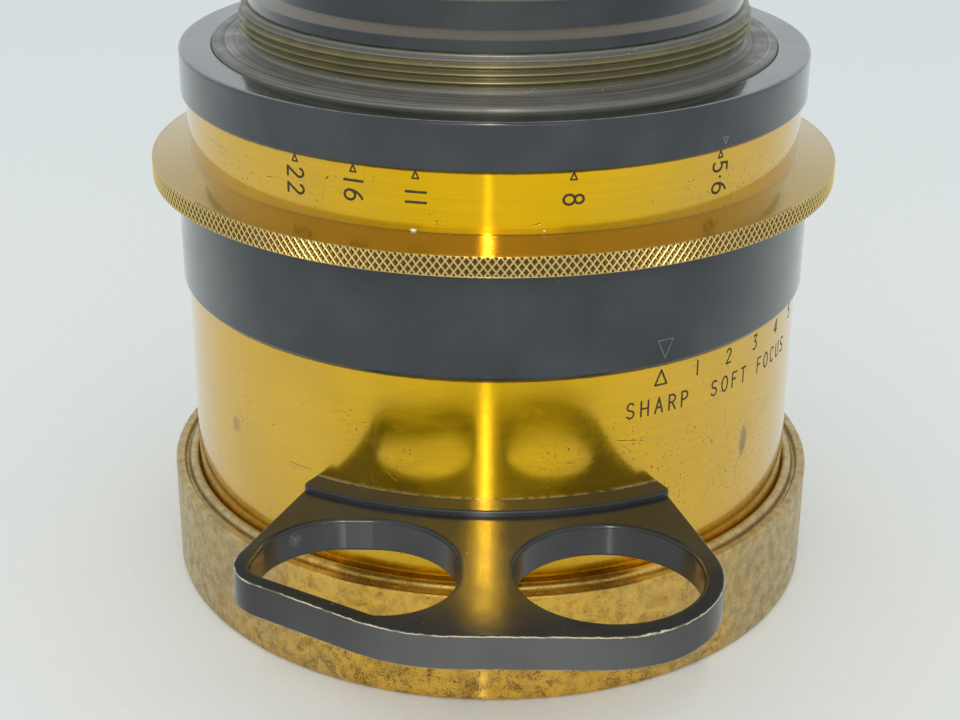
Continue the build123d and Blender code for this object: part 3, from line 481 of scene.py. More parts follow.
def lacquer(name, deep, roughness, dust=0.3, grain=0.0025, wear_and_highlight=False, dusty=(), edge_highlights=(),
            gloss=1.0, density=1.52):
    """Black stove enamel over brass, with dust specks and faint rubs.

    Dusty bands are pairs of levels; a painted edge highlight is a radius, a height and a width.
    """
    s = Shade(name)
    cloud = s.noise(s.position, 0.09, 3.0)
    base = s.blend(s.span(cloud, 0.3, 0.75), deep, tuple(c * 1.5 + 0.006 for c in deep))
    specks = s.larger(dots(s, 0.8, 0.14, 0.07, 1), dots(s, 0.3, 0.14, 0.11, 2))
    specks = s.larger(specks, s.times(dots(s, 1.7, 0.14, 0.055, 1), 0.6))
    rubs = s.span(s.noise(s.skin(2.5, 0.14, 0.4), 1.0, 2.0), 0.72, 0.80, 0.0, 0.2)
    base = s.blend(s.times(s.larger(specks, rubs), dust), base, DUST)
    smears = s.noise(s.stretch(0.10, 0.30), 1.0, 4.0, 0.6)
    rough = s.span(smears, 0.3, 0.75, roughness * 0.8, roughness * 1.35)
    for foot, top in dusty:
        soft = s.times(s.minus(s.noise(s.position, 0.7, 3.0), 0.5), 0.08)
        level = s.plus(s.z, soft)
        band = s.times(s.span(level, foot, foot + 0.2), s.span(level, top, top - 0.3))
        streaks = s.noise(s.turning(7.0), 1.0, 3.0)
        film = s.times(band, s.span(streaks, 0.3, 0.7, 0.65, 1.0))
        base = s.blend(film, base, DUST_FILM)
        rough = s.larger(rough, s.times(film, 0.6))
    # Painted highlight: a pale line round an edge stands in for its highlight.
    for radius, height, width in edge_highlights:
        aside = s.minus(s.radius, radius)
        above = s.minus(s.z, height)
        line = s.times(s.span(s.hypot(aside, above), width, width * 0.4),
                       s.span(s.noise(s.position, 0.5, 3.0), 0.30, 0.55, 0.25, 0.9))
        base = s.blend(line, base, EDGE_HIGHLIGHT)
    peel = s.bump(s.noise(s.position, 4.2, 3.0), grain)
    if wear_and_highlight:
        bare = worn_outline(s)
        facet = s.add("NewGeometry").outputs["Normal"]
        lean = s.add("SeparateXYZ", {0: facet}).outputs
        wall = s.times(s.span(lean[2], 0.5, 0.2), s.span(lean[1], -0.55, -0.95))
        wall = s.times(wall, s.span(s.y, -60.0, -75.0))
        # Painted highlight: the front wall is lightened in its middle, fading towards its ends.
        highlight_falloff = s.span(s.math("ABSOLUTE", s.minus(s.x, 2.0)), 34.0, 2.0, 0.15, 1.0)
        cloudy = s.times(highlight_falloff, s.span(cloud, 0.25, 0.75, 0.7, 1.0))
        base = s.blend(s.times(wall, cloudy), base, FRONT_HIGHLIGHT)
        base = s.blend(bare, base, BARE_EDGE)
        joint = s.times(s.span(s.radius, 48.0, 47.85), s.span(s.z, 30.6, 30.7))
        joint = s.times(joint, s.span(s.noise(s.position, 1.0, 3.0), 0.3, 0.6))
        base = s.blend(s.times(joint, 0.7), base, JOINT_DUST)
        rough = s.larger(rough, s.times(bare, 0.5))
        for place_at, reach, depth in VERDIGRIS:
            far = s.add("VectorMath", {0: s.position, 1: place_at}, operation="DISTANCE")
            ragged = s.times(s.noise(s.position, 1.3, 3.0), reach)
            smear = s.span(s.plus(far.outputs["Value"], ragged), reach * 1.5, reach * 0.7)
            smear = s.times(smear, s.span(s.noise(s.position, 2.6, 3.0), 0.35, 0.6))
            base = s.blend(s.times(smear, depth), base, CORROSION)
    facing = s.add("LayerWeight", {"Blend": 0.5}).outputs["Facing"]
    shader = s.principled(Base_Color=base, Roughness=rough, Normal=peel, IOR=density,
                          Coat_Weight=s.span(facing, 0.25, 0.65, 0.0, gloss), Coat_Roughness=0.06,
                          Coat_IOR=1.5)
    if not wear_and_highlight:
        return s.finish(shader)
    upright = s.span(s.math("ABSOLUTE", lean[2]), 0.3, 0.1)
    bored = s.times(upright, s.span(s.y, -70.0, -64.0, 0.0, 0.03))
    level_way = s.add("VectorMath", {0: facet, 1: (0.0, 0.0, 1.0)}, operation="CROSS_PRODUCT")
    milled = s.brushed((0.90, 0.90, 0.92, 1.0), 0.4, 0.8, Tangent=level_way.outputs[0])
    return s.mixed(bored, shader, milled)


def thread_brass(name):
    """Brass that was once blackened: brown in the hollows, bare and pale on the crests."""
    s = Shade(name)
    cloud = s.noise(s.position, 0.22, 4.0, 0.6)
    lines = s.noise(s.turning(9.0), 1.0, 3.0, 0.6)
    broad = s.noise(s.turning(2.2, 0.005), 1.0, 3.0, 0.7)
    crest = s.span(s.radius, THREAD_CREST_RADIUS - 0.32, THREAD_CREST_RADIUS - 0.02)
    bare = s.plus(crest, s.times(s.minus(cloud, 0.5), 0.5), clamp=True)
    threaded = s.times(s.span(s.z, THREAD_FOOT, THREAD_FOOT + 0.6),
                       s.span(s.z, THREAD_TOP, THREAD_TOP - 0.4))
    bare = s.times(bare, threaded)
    flat = s.blend(s.span(broad, 0.38, 0.62), (0.125, 0.117, 0.102), (0.230, 0.225, 0.208))
    flat = s.blend(s.span(lines, 0.35, 0.75, 0.0, 0.6), flat, (0.045, 0.038, 0.027))
    flank = s.blend(s.span(cloud, 0.35, 0.7), (0.135, 0.118, 0.058), (0.085, 0.073, 0.042))
    base = s.blend(threaded, flat, flank)
    base = s.blend(bare, base, (0.23, 0.21, 0.11))
    from_shoulder = s.math("ABSOLUTE", s.minus(s.z, THREAD_TOP - 0.14))
    shoulder = s.span(from_shoulder, 0.12, 0.05, 0.0, 0.8)
    base = s.blend(shoulder, base, (0.42, 0.41, 0.27))
    land = s.times(s.span(s.z, THREAD_TOP - 0.3, THREAD_TOP - 0.1),
                   s.span(s.z, MOUNT_RIM, MOUNT_RIM - 0.1))
    base = s.blend(s.times(land, 0.8), base, (0.105, 0.100, 0.105))
    lip = s.span(s.z, MOUNT_RIM - 0.08, MOUNT_RIM)
    base = s.blend(lip, base, (0.24, 0.22, 0.16))
    for near, width, tone in ((41.97, 0.06, (0.17, 0.16, 0.14)),
                              (41.35, 0.06, (0.17, 0.17, 0.16)),
                              (40.75, 0.07, (0.025, 0.023, 0.02))):
        off = s.math("ABSOLUTE", s.minus(s.radius, near))
        ring_line = s.times(s.span(off, width, width * 0.4),
                            s.span(s.z, ANNULUS - 0.2, ANNULUS - 0.05))
        base = s.blend(s.times(ring_line, 0.7), base, tone)
    specks = s.larger(dots(s, 1.6, 0.35, 0.07, 1), dots(s, 0.5, 0.18, 0.11, 2))
    base = s.blend(s.times(specks, 0.8), base, (0.62, 0.60, 0.56))
    metal = s.larger(s.span(bare, 0.2, 0.8, 0.35, 1.0), lip)
    rough = s.span(s.plus(cloud, s.times(lines, 0.4)), 0.4, 1.0, 0.30, 0.60)
    grooves = s.bump(lines, 0.02)
    shader = s.principled(Base_Color=base, Metallic=metal, Roughness=rough, Normal=grooves,
                          Anisotropic=0.7, Anisotropic_Rotation=0.25, Tangent=s.around())
    cut = s.brushed((0.80, 0.60, 0.22, 1.0), 0.24, 0.9, Normal=grooves, Tangent=s.around())
    return s.mixed(s.times(threaded, 0.035), shader, cut)


def patina_brass(name):
    """Bare brass gone brown and olive, mottled and pitted."""
    s = Shade(name)
    cloud = s.noise(s.position, 0.05, 4.0, 0.6, 0.4)
    mottle = s.noise(s.position, 0.55, 4.0, 0.65, 0.3)
    grain = s.noise(s.position, 3.6, 3.0, 0.7)
    lines = s.noise(s.turning(7.0, 0.01), 1.0, 3.0, 0.6)
    # Painted light: the front is golden and the sides a greyer tan, for the lamp in front and the
    # floor reflected at the sides; rust and dark blotches thin out on the sides with it.
    golden = s.blend(s.span(mottle, 0.38, 0.66), (0.86, 0.53, 0.085), (0.68, 0.41, 0.085))
    dull = s.blend(s.span(mottle, 0.34, 0.66), (0.60, 0.46, 0.22), (0.44, 0.335, 0.175))
    beside = s.plus(s.math("ABSOLUTE", s.azimuth), s.times(cloud, 60.0))
    painted_sides = s.span(beside, 50.0, 82.0)
    base = s.blend(painted_sides, golden, dull)
    painted_front = s.span(painted_sides, 0.0, 1.0, 1.0, 0.45)
    base = s.blend(s.span(lines, 0.4, 0.8, 0.0, 0.25), base, (0.34, 0.24, 0.09))
    rust = s.span(s.noise(s.position, 0.28, 5.0, 0.72, 0.6), 0.48, 0.62, 0.0, 0.6)
    base = s.blend(s.times(rust, painted_front), base, (0.50, 0.265, 0.045))
    mixed = s.plus(s.times(mottle, 0.4), s.times(grain, 0.6))
    mixed = s.plus(mixed, s.span(s.z, 14.0, 3.0, 0.0, 0.05))
    dark = s.times(s.span(mixed, 0.545, 0.635, 0.0, 0.70), painted_front)
    base = s.blend(dark, base, (0.105, 0.062, 0.020))
    flecks = s.larger(dots(s, 1.5, 0.45, 0.13, 1), dots(s, 0.6, 0.25, 0.22, 2))
    base = s.blend(s.times(flecks, 0.55), base, (0.085, 0.060, 0.028))
    rough = s.span(mottle, 0.3, 0.7, 0.24, 0.42)
    pits = s.bump(s.plus(grain, s.times(mottle, 1.2)), 0.02)
    shader = s.principled(Base_Color=base, Metallic=0.92, Roughness=rough, Normal=pits,
                          Anisotropic=0.6, Anisotropic_Rotation=0.25, Tangent=s.around())
    turned = s.brushed(base, 0.28, 0.88, Normal=s.bump(mottle, 0.006), Tangent=s.around())
    return s.mixed(0.22, shader, turned)


def plain_metal(name, tone, roughness):
    """Machined inner metal with lathe marks."""
    s = Shade(name)
    lines = s.noise(s.turning(8.0), 1.0, 3.0)
    cloud = s.noise(s.position, 0.2, 3.0)
    base = s.blend(s.span(cloud, 0.3, 0.7), tone, tuple(c * 0.75 for c in tone))
    base = s.blend(s.span(lines, 0.4, 0.8, 0.0, 0.3), base, tuple(c * 0.5 for c in tone))
    rough = s.span(cloud, 0.3, 0.7, roughness * 0.85, roughness * 1.2)
    shader = s.principled(Base_Color=base, Metallic=1.0, Roughness=rough,
                          Normal=s.bump(lines, 0.006))
    return s.finish(shader)


def black_paint(name, tone, roughness):
    """Matt black inside finish."""
    s = Shade(name)
    grain = s.noise(s.position, 1.8, 3.0)
    lines = s.noise(s.turning(5.0), 1.0, 2.0)
    base = s.blend(s.span(grain, 0.35, 0.7), tone, tuple(c * 1.8 for c in tone))
    rough = s.span(grain, 0.3, 0.7, roughness * 0.85, roughness * 1.15)
    shader = s.principled(Base_Color=base, Roughness=rough, Normal=s.bump(lines, 0.01))
    return s.finish(shader)


def engraving_paint(name, filled, thin):
    """Wax filling of the engraved figures, thin in places."""
    s = Shade(name)
    grain = s.noise(s.position, 5.0, 3.0)
    base = s.blend(s.span(grain, 0.45, 0.75), filled, thin)
    rough = s.span(grain, 0.3, 0.7, 0.45, 0.7)
    shader = s.principled(Base_Color=base, Roughness=rough, Normal=s.bump(grain, 0.01), IOR=1.3)
    return s.finish(shader)


def lens_glass(name):
    """Optical glass with a faint bloom and a little dust."""
    s = Shade(name)
    cloud = s.noise(s.position, 0.15, 2.0)
    rough = s.span(cloud, 0.3, 0.7, 0.0, 0.03)
    shader = s.principled(Base_Color=(0.97, 0.985, 0.975, 1.0), Roughness=rough, IOR=1.6,
                          Transmission_Weight=1.0, Coat_Weight=0.2, Coat_Roughness=0.02)
    return s.finish(shader)


# ---- camera, light and floor
CAMERA_PLACE = (0.0, -0.2677, 0.1477)
CAMERA_PITCH = 23.558
CAMERA_YAW = -0.357
CAMERA_ROLL = 0.549
CAMERA_LENS = 67.34
SENSOR_WIDTH = 36.0
SKY = (0.90, 0.965, 0.98, 1.0)
SKY_STRENGTH = 0.88
# Each lamp: place, aim, width, height, power and tint, in metres and watts.
LAMPS = {
    "key": ((-0.023, -0.75, 0.52), (0, 0, 0.05), 0.006, 0.36, 2.4, (1.0, 0.94, 0.84)),
    "fill": ((0.0, -1.1, 0.35), (0, 0, 0.0), 1.0, 0.5, 1.6, (1.0, 0.97, 0.93)),
}
FLOOR_REACH = 3.0
FLOOR_STEPS = 24
FLOOR_GAP = 0.00005            # keeps the floor clear of the rim that stands on it


def make_camera():
    pitch, yaw, roll = (math.radians(v) for v in (CAMERA_PITCH, CAMERA_YAW, CAMERA_ROLL))
    ahead = Vector((0, math.cos(pitch), -math.sin(pitch)))
    right = Vector((1, 0, 0))
    up = Vector((0, math.sin(pitch), math.cos(pitch)))
    ahead, right = (ahead * math.cos(yaw) + right * math.sin(yaw),
                    right * math.cos(yaw) - ahead * math.sin(yaw))
    right, up = (right * math.cos(roll) + up * math.sin(roll),
                 up * math.cos(roll) - right * math.sin(roll))
    data = bpy.data.cameras.new("camera")
    data.lens = CAMERA_LENS
    data.sensor_width = SENSOR_WIDTH
    data.clip_start = 0.005
    data.clip_end = 50.0
    camera = bpy.data.objects.new("camera", data)
    rows = [(right[i], up[i], -ahead[i], CAMERA_PLACE[i]) for i in range(3)]
    camera.matrix_world = Matrix(rows + [(0, 0, 0, 1)])
    bpy.context.scene.collection.objects.link(camera)
    bpy.context.scene.camera = camera


def area_light(name, place_at, aim_at, width, height, power, tint):
    data = bpy.data.lights.new(name, "AREA")
    data.shape = "RECTANGLE"
    data.size = width
    data.size_y = height
    data.energy = power
    data.color = tint
    lamp = bpy.data.objects.new(name, data)
    lamp.location = place_at
    lamp.rotation_euler = (Vector(aim_at) - Vector(place_at)).to_track_quat("-Z", "Y").to_euler()
    bpy.context.scene.collection.objects.link(lamp)


def make_surroundings():
    world = bpy.data.worlds.new("studio")
    world.use_nodes = True
    bpy.context.scene.world = world
    tree = world.node_tree
    tree.nodes["Background"].inputs["Color"].default_value = SKY
    tree.nodes["Background"].inputs["Strength"].default_value = SKY_STRENGTH
    for lamp, settings in LAMPS.items():
        area_light(lamp, *settings)
    work = bmesh.new()
    bmesh.ops.create_grid(work, x_segments=FLOOR_STEPS, y_segments=FLOOR_STEPS, size=FLOOR_REACH)
    mesh = bpy.data.meshes.new("floor")
    work.to_mesh(mesh)
    work.free()
    floor = bpy.data.objects.new("floor", mesh)
    floor.location.z = cad_low.z - FLOOR_GAP
    bpy.context.scene.collection.objects.link(floor)
    s = Shade("paper")
    grain = s.noise(s.position, 0.8, 4.0)
    base = s.blend(s.span(grain, 0.3, 0.7), (0.78, 0.79, 0.79), (0.765, 0.775, 0.775))
    shader = s.principled(Base_Color=base, Roughness=0.85, Normal=s.bump(grain, 0.02))
    mesh.materials.append(s.finish(shader))


make_camera()
make_surroundings()
bpy.context.scene.view_settings.view_transform = "Standard"

# ---- materials
GOLD = (0.82, 0.48, 0.006)
TARNISH = (0.42, 0.26, 0.03)
materials = {
    "barrel": brass(
        "lacquered_barrel", GOLD, TARNISH, 0.132, 0.09,
        stains=((51.5, 31.5, 1.6, 3.4, 0.6), (-52.0, 33.0, 1.6, 1.8, 0.4)),
        patches=((52.0, 31.0, 17.0, 9.0), (36.0, 35.0, 12.0, 6.0), (-62.0, 30.0, 10.0, 8.0)),
        scratches=(((45.1, 38.8), (45.5, 35.5), 0.07), ((40.4, 35.4), (42.5, 33.6), 0.09),
                   ((21.0, 38.4), (26.8, 37.5), 0.08), ((55.0, 33.0), (62.0, 36.5), 0.06),
                   ((49.0, 27.0), (54.0, 33.5), 0.10), ((-37.4, 31.4), (-32.1, 31.2), 0.07)),
        painted_shade=((48.25, 48.5),)),
    "scale": brass(
        "lacquered_scale", GOLD, TARNISH, 0.085, 0.10, pitted=0.3,
        patches=((-50.0, 73.5, 13.0, 4.5), (55.0, 73.0, 12.0, 4.0)),
        scratches=(((6.2, 70.2), (8.0, 70.6), 0.09), ((-41.5, 73.0), (-38.5, 73.4), 0.07),
                   ((-60.0, 75.0), (-52.0, 74.5), 0.06)),
        painted_shade=((77.12, 77.35),), nicks=((-12.9, 69.2, 0.75, 0.27), (8.4, 69.5, 0.3, 0.12)),
        knurl_radius=52.0),
    "hood": patina_brass("patina_hood"),
    "black": lacquer("black_enamel", (0.016, 0.020, 0.024), roughness=0.19,
                     edge_highlights=((46.86, 84.28, 0.11),), gloss=0.65),
    "handle": lacquer("handle_enamel", (0.015, 0.016, 0.017), roughness=0.19, dust=0.45,
                      grain=0.005, wear_and_highlight=True, gloss=0.0, density=1.46),
    "cell": lacquer("cell_enamel", (0.012, 0.015, 0.018), roughness=0.13, dust=0.5,
                    dusty=((92.28, 93.5), (97.05, 98.1), (100.55, 101.2))),
    "thread": thread_brass("worn_thread"),
    "inner": black_paint("inner_black", (0.012, 0.012, 0.013), 0.6),
    "plain": plain_metal("plain_brass", (0.66, 0.45, 0.14), 0.35),
    "steel": plain_metal("blued_steel", (0.22, 0.23, 0.25), 0.30),
    "screws": plain_metal("screw_steel", (0.16, 0.16, 0.17), 0.35),
    "glass": lens_glass("optical_glass"),
    "wax": engraving_paint("engraving_wax", (0.030, 0.024, 0.014), (0.12, 0.085, 0.03)),
    "index_wax": engraving_paint("index_wax", (0.17, 0.18, 0.18), (0.08, 0.085, 0.09)),
}

# ---- front hood and barrel
hood_radius, _, bead_top = size("front_hood")
barrel_radius, barrel_front, barrel_rear = size("front_barrel")
hood = lathe("hood_shell", [
    (HOOD_BORE, 0.0, 0.3),
    (hood_radius - 0.35, 0.0, 0.5),
    (hood_radius, 0.7, 0.6),
    (hood_radius, HOOD_RIM - 0.05, 0.35),
    (barrel_radius + 2.55, HOOD_RIM - 0.02, 0.18),
    (barrel_radius + 2.20, HOOD_RIM - 0.85, 0.15),
    (barrel_radius + 1.85, HOOD_RIM - 0.75, 0.15),
    (barrel_radius + 1.55, bead_top - 0.15, 0.5),
    (barrel_radius + 0.45, bead_top + 0.02, 0.5),
    (barrel_radius + 0.05, bead_top - 0.9, 0.1),
    (barrel_radius + 0.05, barrel_front, 0.0),
    (HOOD_SEAT, barrel_front, 0.2),
    (HOOD_SEAT, HOOD_MOUTH, 0.3),
    (HOOD_BORE, HOOD_MOUTH, 0.0),
], materials["hood"])
place(hood, "front_tube", "tarnished_brass", "front_hood")

tube = lathe("barrel_tube", [
    (BARREL_BORE, barrel_front, 0.0),
    (barrel_radius, barrel_front, 0.0),
    (barrel_radius, barrel_rear, 0.18),
    (BARREL_BORE, barrel_rear, 0.1),
], materials["barrel"])
place(tube, "front_tube", "lacquered_brass", "front_barrel")

# ---- black rings
name_radius, name_front, name_rear = size("name_ring")
name_piece = lathe("name_band", [
    (NAME_RING_BORE, name_front, 0.1),
    (name_radius, name_front, 0.45),
    (name_radius, name_rear, 0.35),
    (NAME_RING_BORE, name_rear, 0.1),
], materials["black"])
place(name_piece, "barrel", "black_lacquer", "name_ring")

index_radius, index_front, index_rear = size("index_ring")
index_piece = lathe("index_band", [
    (SCALE_BORE, index_front, 0.0),
    (index_radius, index_front, 0.25),
    (index_radius, index_rear, 0.5),
    (ANNULUS_RADIUS, index_rear, 0.25),
    (ANNULUS_RADIUS, INDEX_STEP, 0.0),
    (SCALE_BORE, INDEX_STEP, 0.0),
], materials["black"])
place(index_piece, "barrel", "black_lacquer", "index_ring")

# ---- iris control ring
flange_radius, flange_front, scale_rear = size("iris_control_ring")
KNURLS = 297
KNURL_STEPS = 6                # facets along a knurl pitch
KNURL_DIAMONDS = 2             # diamonds up the rim
RIDGE_GAP = 0.003              # keeps the ridges' tips inside the CAD radius


def from_ridge(value):
    """Distance to the nearest ridge line, 0 on it and 1 half a pitch away."""
    share = value - math.floor(value)
    return 2 * min(share, 1 - share)


def knurled_ring():
    """Flange and scale in one turned piece; ridges cross on its rim, with hollows between."""
    low, high = flange_front + KNURL_EDGE, FLANGE_REAR - KNURL_EDGE
    rows_up = KNURL_DIAMONDS * KNURL_STEPS
    shoulder = flange_radius - 0.5
    plain = softened([
        (shoulder, FLANGE_REAR - 0.03, None),
        (shoulder - 0.1, FLANGE_REAR, None),
        (shoulder - 0.2, FLANGE_REAR + 0.02, None),
        (SCALE_RADIUS, SCALE_FOOT, 0.12),
        (SCALE_RADIUS, scale_rear, 0.16),
        (SCALE_BORE, scale_rear, 0.0),
        (SCALE_BORE, flange_front, 0.0),
        (shoulder - 0.2, flange_front, None),
        (shoulder - 0.05, flange_front, None),
        (shoulder, flange_front + 0.03, None),
    ])
    segments = KNURLS * KNURL_STEPS
    rows = []
    for segment in range(segments):
        row = []
        for step in range(rows_up + 1):
            along, up = segment / KNURL_STEPS, step / KNURL_STEPS
            hollow = min(from_ridge(along + up), from_ridge(along - up))
            level = low + (high - low) * step / rows_up
            depth = KNURL_DEPTH * hollow if 0 < step < rows_up else KNURL_EDGE
            row.append((flange_radius - RIDGE_GAP - depth, level))
        row += [tuple(point) for point in plain]
        rows.append(row)
    vertices, faces = round_axis(rows, segments)
    width = len(rows[0])
    split, flat = [], []
    for index, face in enumerate(faces):
        segment, step = divmod(index, width)
        if step > rows_up and step != width - 1:
            split.append(face)
            continue
        a, b, c, d = face
        rising = (segment - step) % KNURL_STEPS == 0
        halves = ((a, b, c), (a, c, d)) if rising else ((a, b, d), (b, c, d))
        for half in halves:
            flat.append(len(split))
            split.append(half)
    return mesh_piece("control_ring", vertices, split, materials["scale"], flat)


place(knurled_ring(), "iris_ring", "lacquered_brass", "iris_control_ring")

# ---- mount barrel and rear cell
_, spigot_front, tube_rear = size("mount_barrel")
THREAD_PITCH = 25.4 / 24
THREAD_DEPTH = 0.66
THREAD_FLAT = 0.07
FIRST_CREST = 86.97
THREAD_START = 86.25
THREAD_END = 89.75
RELIEF = 37.24                 # radius of the groove below the thread
LAND = 37.65                   # radius of the plain end above it


def thread_radius(level, turn):
    """Radius of the mounting thread at a height and a share of a whole turn."""
    from_crest = (level - FIRST_CREST) / THREAD_PITCH - turn
    off = abs(from_crest - round(from_crest)) * THREAD_PITCH
    flank = THREAD_PITCH / 2 - THREAD_FLAT
    cut = min(1.0, max(0.0, (off - THREAD_FLAT) / flank))
    cut = cut * cut * (3 - 2 * cut) * 0.35 + cut * 0.65
    radius = THREAD_CREST_RADIUS - THREAD_DEPTH * cut
    start = min(1.0, max(0.0, (level - THREAD_START) / 0.35))
    end = min(1.0, max(0.0, (THREAD_END - level) / 0.2))
    radius = RELIEF + (radius - RELIEF) * start
    return LAND + (radius - LAND) * end


def threaded_barrel():
    """Mount barrel in one turned piece, with the helical thread between relief and land."""
    first, last, rows_up = THREAD_START - 0.2, THREAD_END + 0.2, 60
    points = softened([
        (36.2, 80.0, 0.0),
        (36.2, spigot_front, 0.2),
        (40.85, spigot_front, 0.2),
        (40.85, 79.0, 0.0),
        (42.25, 79.0, 0.0),
        (42.25, 84.45, 0.2),
        (42.0, ANNULUS, 0.15),
        (40.6, ANNULUS, 0.0),
        (39.3, ANNULUS, 0.0),
        (38.3, ANNULUS, 0.25),
        (RELIEF, 85.25, 0.3),
        (RELIEF, first - 0.2, None),
        (LAND, last + 0.1, None),
        (LAND, tube_rear, 0.3),
        (35.5, tube_rear, 0.2),
        (35.5, 80.2, 0.0),
    ])
    joint = points.index(Vector((LAND, last + 0.1)))
    foot, rim = points[:joint], points[joint:]
    rows = []
    for segment in range(THREAD_SEGMENTS):
        row = [tuple(point) for point in foot]
        for step in range(rows_up + 1):
            level = first + (last - first) * step / rows_up
            row.append((thread_radius(level, segment / THREAD_SEGMENTS), level))
        row += [tuple(point) for point in rim]
        rows.append(row)
    vertices, faces = round_axis(rows, THREAD_SEGMENTS)
    return mesh_piece("mount_tube", vertices, faces, materials["thread"])


place(threaded_barrel(), "barrel", "blackened_thread_brass", "mount_barrel")

# ---- engraved figures
def arc(middle, level, wide, tall, start, end, steps=16):
    """Points of an ellipse between two angles, anticlockwise from the right."""
    points = []
    for step in range(steps + 1):
        angle = math.radians(start + (end - start) * step / steps)
        points.append((middle + wide * math.cos(angle), level + tall * math.sin(angle)))
    return points


# Single-line figures on a line of height 1: width, then the strokes.
GLYPHS = {
    "1": (0.06, [[(0.03, 0), (0.03, 1)]]),
    "2": (0.46, [arc(0.23, 0.75, 0.22, 0.25, 165, -28) + [(0.0, 0.0)], [(0.0, 0.0), (0.46, 0.0)]]),
    "3": (0.44, [[(0.03, 1.0), (0.42, 1.0)], [(0.42, 1.0), (0.16, 0.60)],
                 arc(0.17, 0.30, 0.26, 0.30, 92, -130)]),
    "4": (0.50, [[(0.36, 0.0), (0.36, 1.0)], [(0.36, 1.0), (0.0, 0.28)],
                 [(0.0, 0.28), (0.5, 0.28)]]),
    "5": (0.44, [[(0.42, 1.0), (0.08, 1.0)], [(0.08, 1.0), (0.03, 0.55)],
                 arc(0.18, 0.31, 0.26, 0.31, 125, -130)]),
    "6": (0.50, [arc(0.25, 0.29, 0.25, 0.29, 180, -180, 28),
                 arc(0.62, 0.29, 0.62, 0.72, 180, 112)]),
    "8": (0.50, [arc(0.25, 0.28, 0.25, 0.28, 90, -270, 28),
                 arc(0.25, 0.78, 0.21, 0.22, -90, 270, 28)]),
    ".": (0.0, [[(0, 0.50), (0, 0.54)]]),
    "A": (0.54, [[(0, 0), (0.27, 1)], [(0.27, 1), (0.54, 0)], [(0.10, 0.36), (0.44, 0.36)]]),
    "C": (0.48, [arc(0.27, 0.5, 0.27, 0.5, 48, 312, 24)]),
    "F": (0.44, [[(0, 0), (0, 1)], [(0, 1), (0.44, 1)], [(0, 0.54), (0.36, 0.54)]]),
    "H": (0.50, [[(0, 0), (0, 1)], [(0.5, 0), (0.5, 1)], [(0, 0.5), (0.5, 0.5)]]),
    "O": (0.54, [arc(0.27, 0.5, 0.27, 0.5, 90, -270, 32)]),
    "P": (0.45, [[(0, 0), (0, 1)], [(0, 1)] + arc(0.20, 0.74, 0.25, 0.26, 90, -90) + [(0, 0.48)]]),
    "R": (0.47, [[(0, 0), (0, 1)], [(0, 1)] + arc(0.20, 0.75, 0.25, 0.25, 90, -90) + [(0, 0.50)],
                 [(0.22, 0.50), (0.47, 0)]]),
    "S": (0.48, [arc(0.25, 0.75, 0.22, 0.25, 35, 270)[:-1]
                 + arc(0.23, 0.26, 0.24, 0.25, 88, -150)]),
    "T": (0.50, [[(0.25, 0), (0.25, 1)], [(0, 1), (0.5, 1)]]),
    "U": (0.48, [[(0, 1), (0, 0.3)] + arc(0.24, 0.27, 0.24, 0.27, 180, 360)[1:] + [(0.48, 1)]]),
}
TRIANGLE = [[(-0.5, 0), (0, 1)], [(0, 1), (0.5, 0)], [(0.5, 0), (-0.5, 0)]]
PROUD = 0.012                  # how far the wax stands above the metal
SUNK = 0.06                    # how far it reaches into it
LIFT_STEP = 0.0006             # keeps the faces of crossing strokes apart
LIFT_STEPS = 5
RIBBON_STEP = 0.35             # longest part of a stroke
CAP_TURNS = (0.0, 35.0, 65.0)  # points of a stroke's round end, in degrees
SAME_POINT = 1e-8              # in metres


def written(word, height, gap):
    """Strokes of a word in mm, centred on its own middle."""
    strokes, start = [], 0.0
    for letter in word:
        width, lines = GLYPHS[letter]
        for line in lines:
            strokes.append([(start + x * height, y * height) for x, y in line])
        start += width * height + gap
    middle = (start - gap) / 2
    return [[(x - middle, y - height / 2) for x, y in line] for line in strokes]


def evenly(line):
    """The same line with no part longer than the ribbon's step."""
    points = [Vector(line[0])]
    for target in line[1:]:
        here, there = points[-1], Vector(target)
        pieces = max(1, math.ceil((there - here).length / RIBBON_STEP))
        points += [here.lerp(there, (index + 1) / pieces) for index in range(pieces)]
    return points


def engrave(strokes, width, wrap, vertices, faces):
    """Add each stroke as a closed ribbon with round ends, laid on a turned face by wrap."""
    for number, line in enumerate(strokes):
        points = evenly(line)
        cross = []             # middle of the ribbon and half its width, as a vector
        for index, point in enumerate(points):
            before = points[max(index - 1, 0)]
            after = points[min(index + 1, len(points) - 1)]
            ahead = (after - before).normalized()
            aside = Vector((-ahead.y, ahead.x)) * width / 2
            cap = [(ahead * width / 2 * math.cos(lean), aside * math.sin(lean))
                   for lean in map(math.radians, CAP_TURNS)]
            if index == 0:
                cross += [(point - on, half) for on, half in cap]
            cross.append((point, aside))
            if index == len(points) - 1:
                cross += [(point + on, half) for on, half in reversed(cap)]
        lift = PROUD + LIFT_STEP * (number % LIFT_STEPS)
        base = len(vertices)
        for middle, half in cross:
            for level in (lift, -SUNK):
                vertices += [wrap(middle + half, level), wrap(middle - half, level)]
        for index in range(len(cross) - 1):
            a, b = base + 4 * index, base + 4 * (index + 1)
            faces += [(a, a + 1, b + 1, b), (a + 2, b + 2, b + 3, a + 3),
                      (a, b, b + 2, a + 2), (a + 1, a + 3, b + 3, b + 1)]


def round_wrap(radius, azimuth, level, turned_down=False):
    """Lay flat (x, y) mm on a cylinder; turned_down reads downward, as the f-numbers do."""
    def wrap(point, lift):
        across, up = (point.y, -point.x) if turned_down else (point.x, point.y)
        angle = math.radians(azimuth) + across / radius
        far = radius + lift
        return (far * math.sin(angle), -far * math.cos(angle), level + up)
    return wrap


def scaled(strokes, wide, tall):
    return [[(x * wide, y * tall) for x, y in line] for line in strokes]


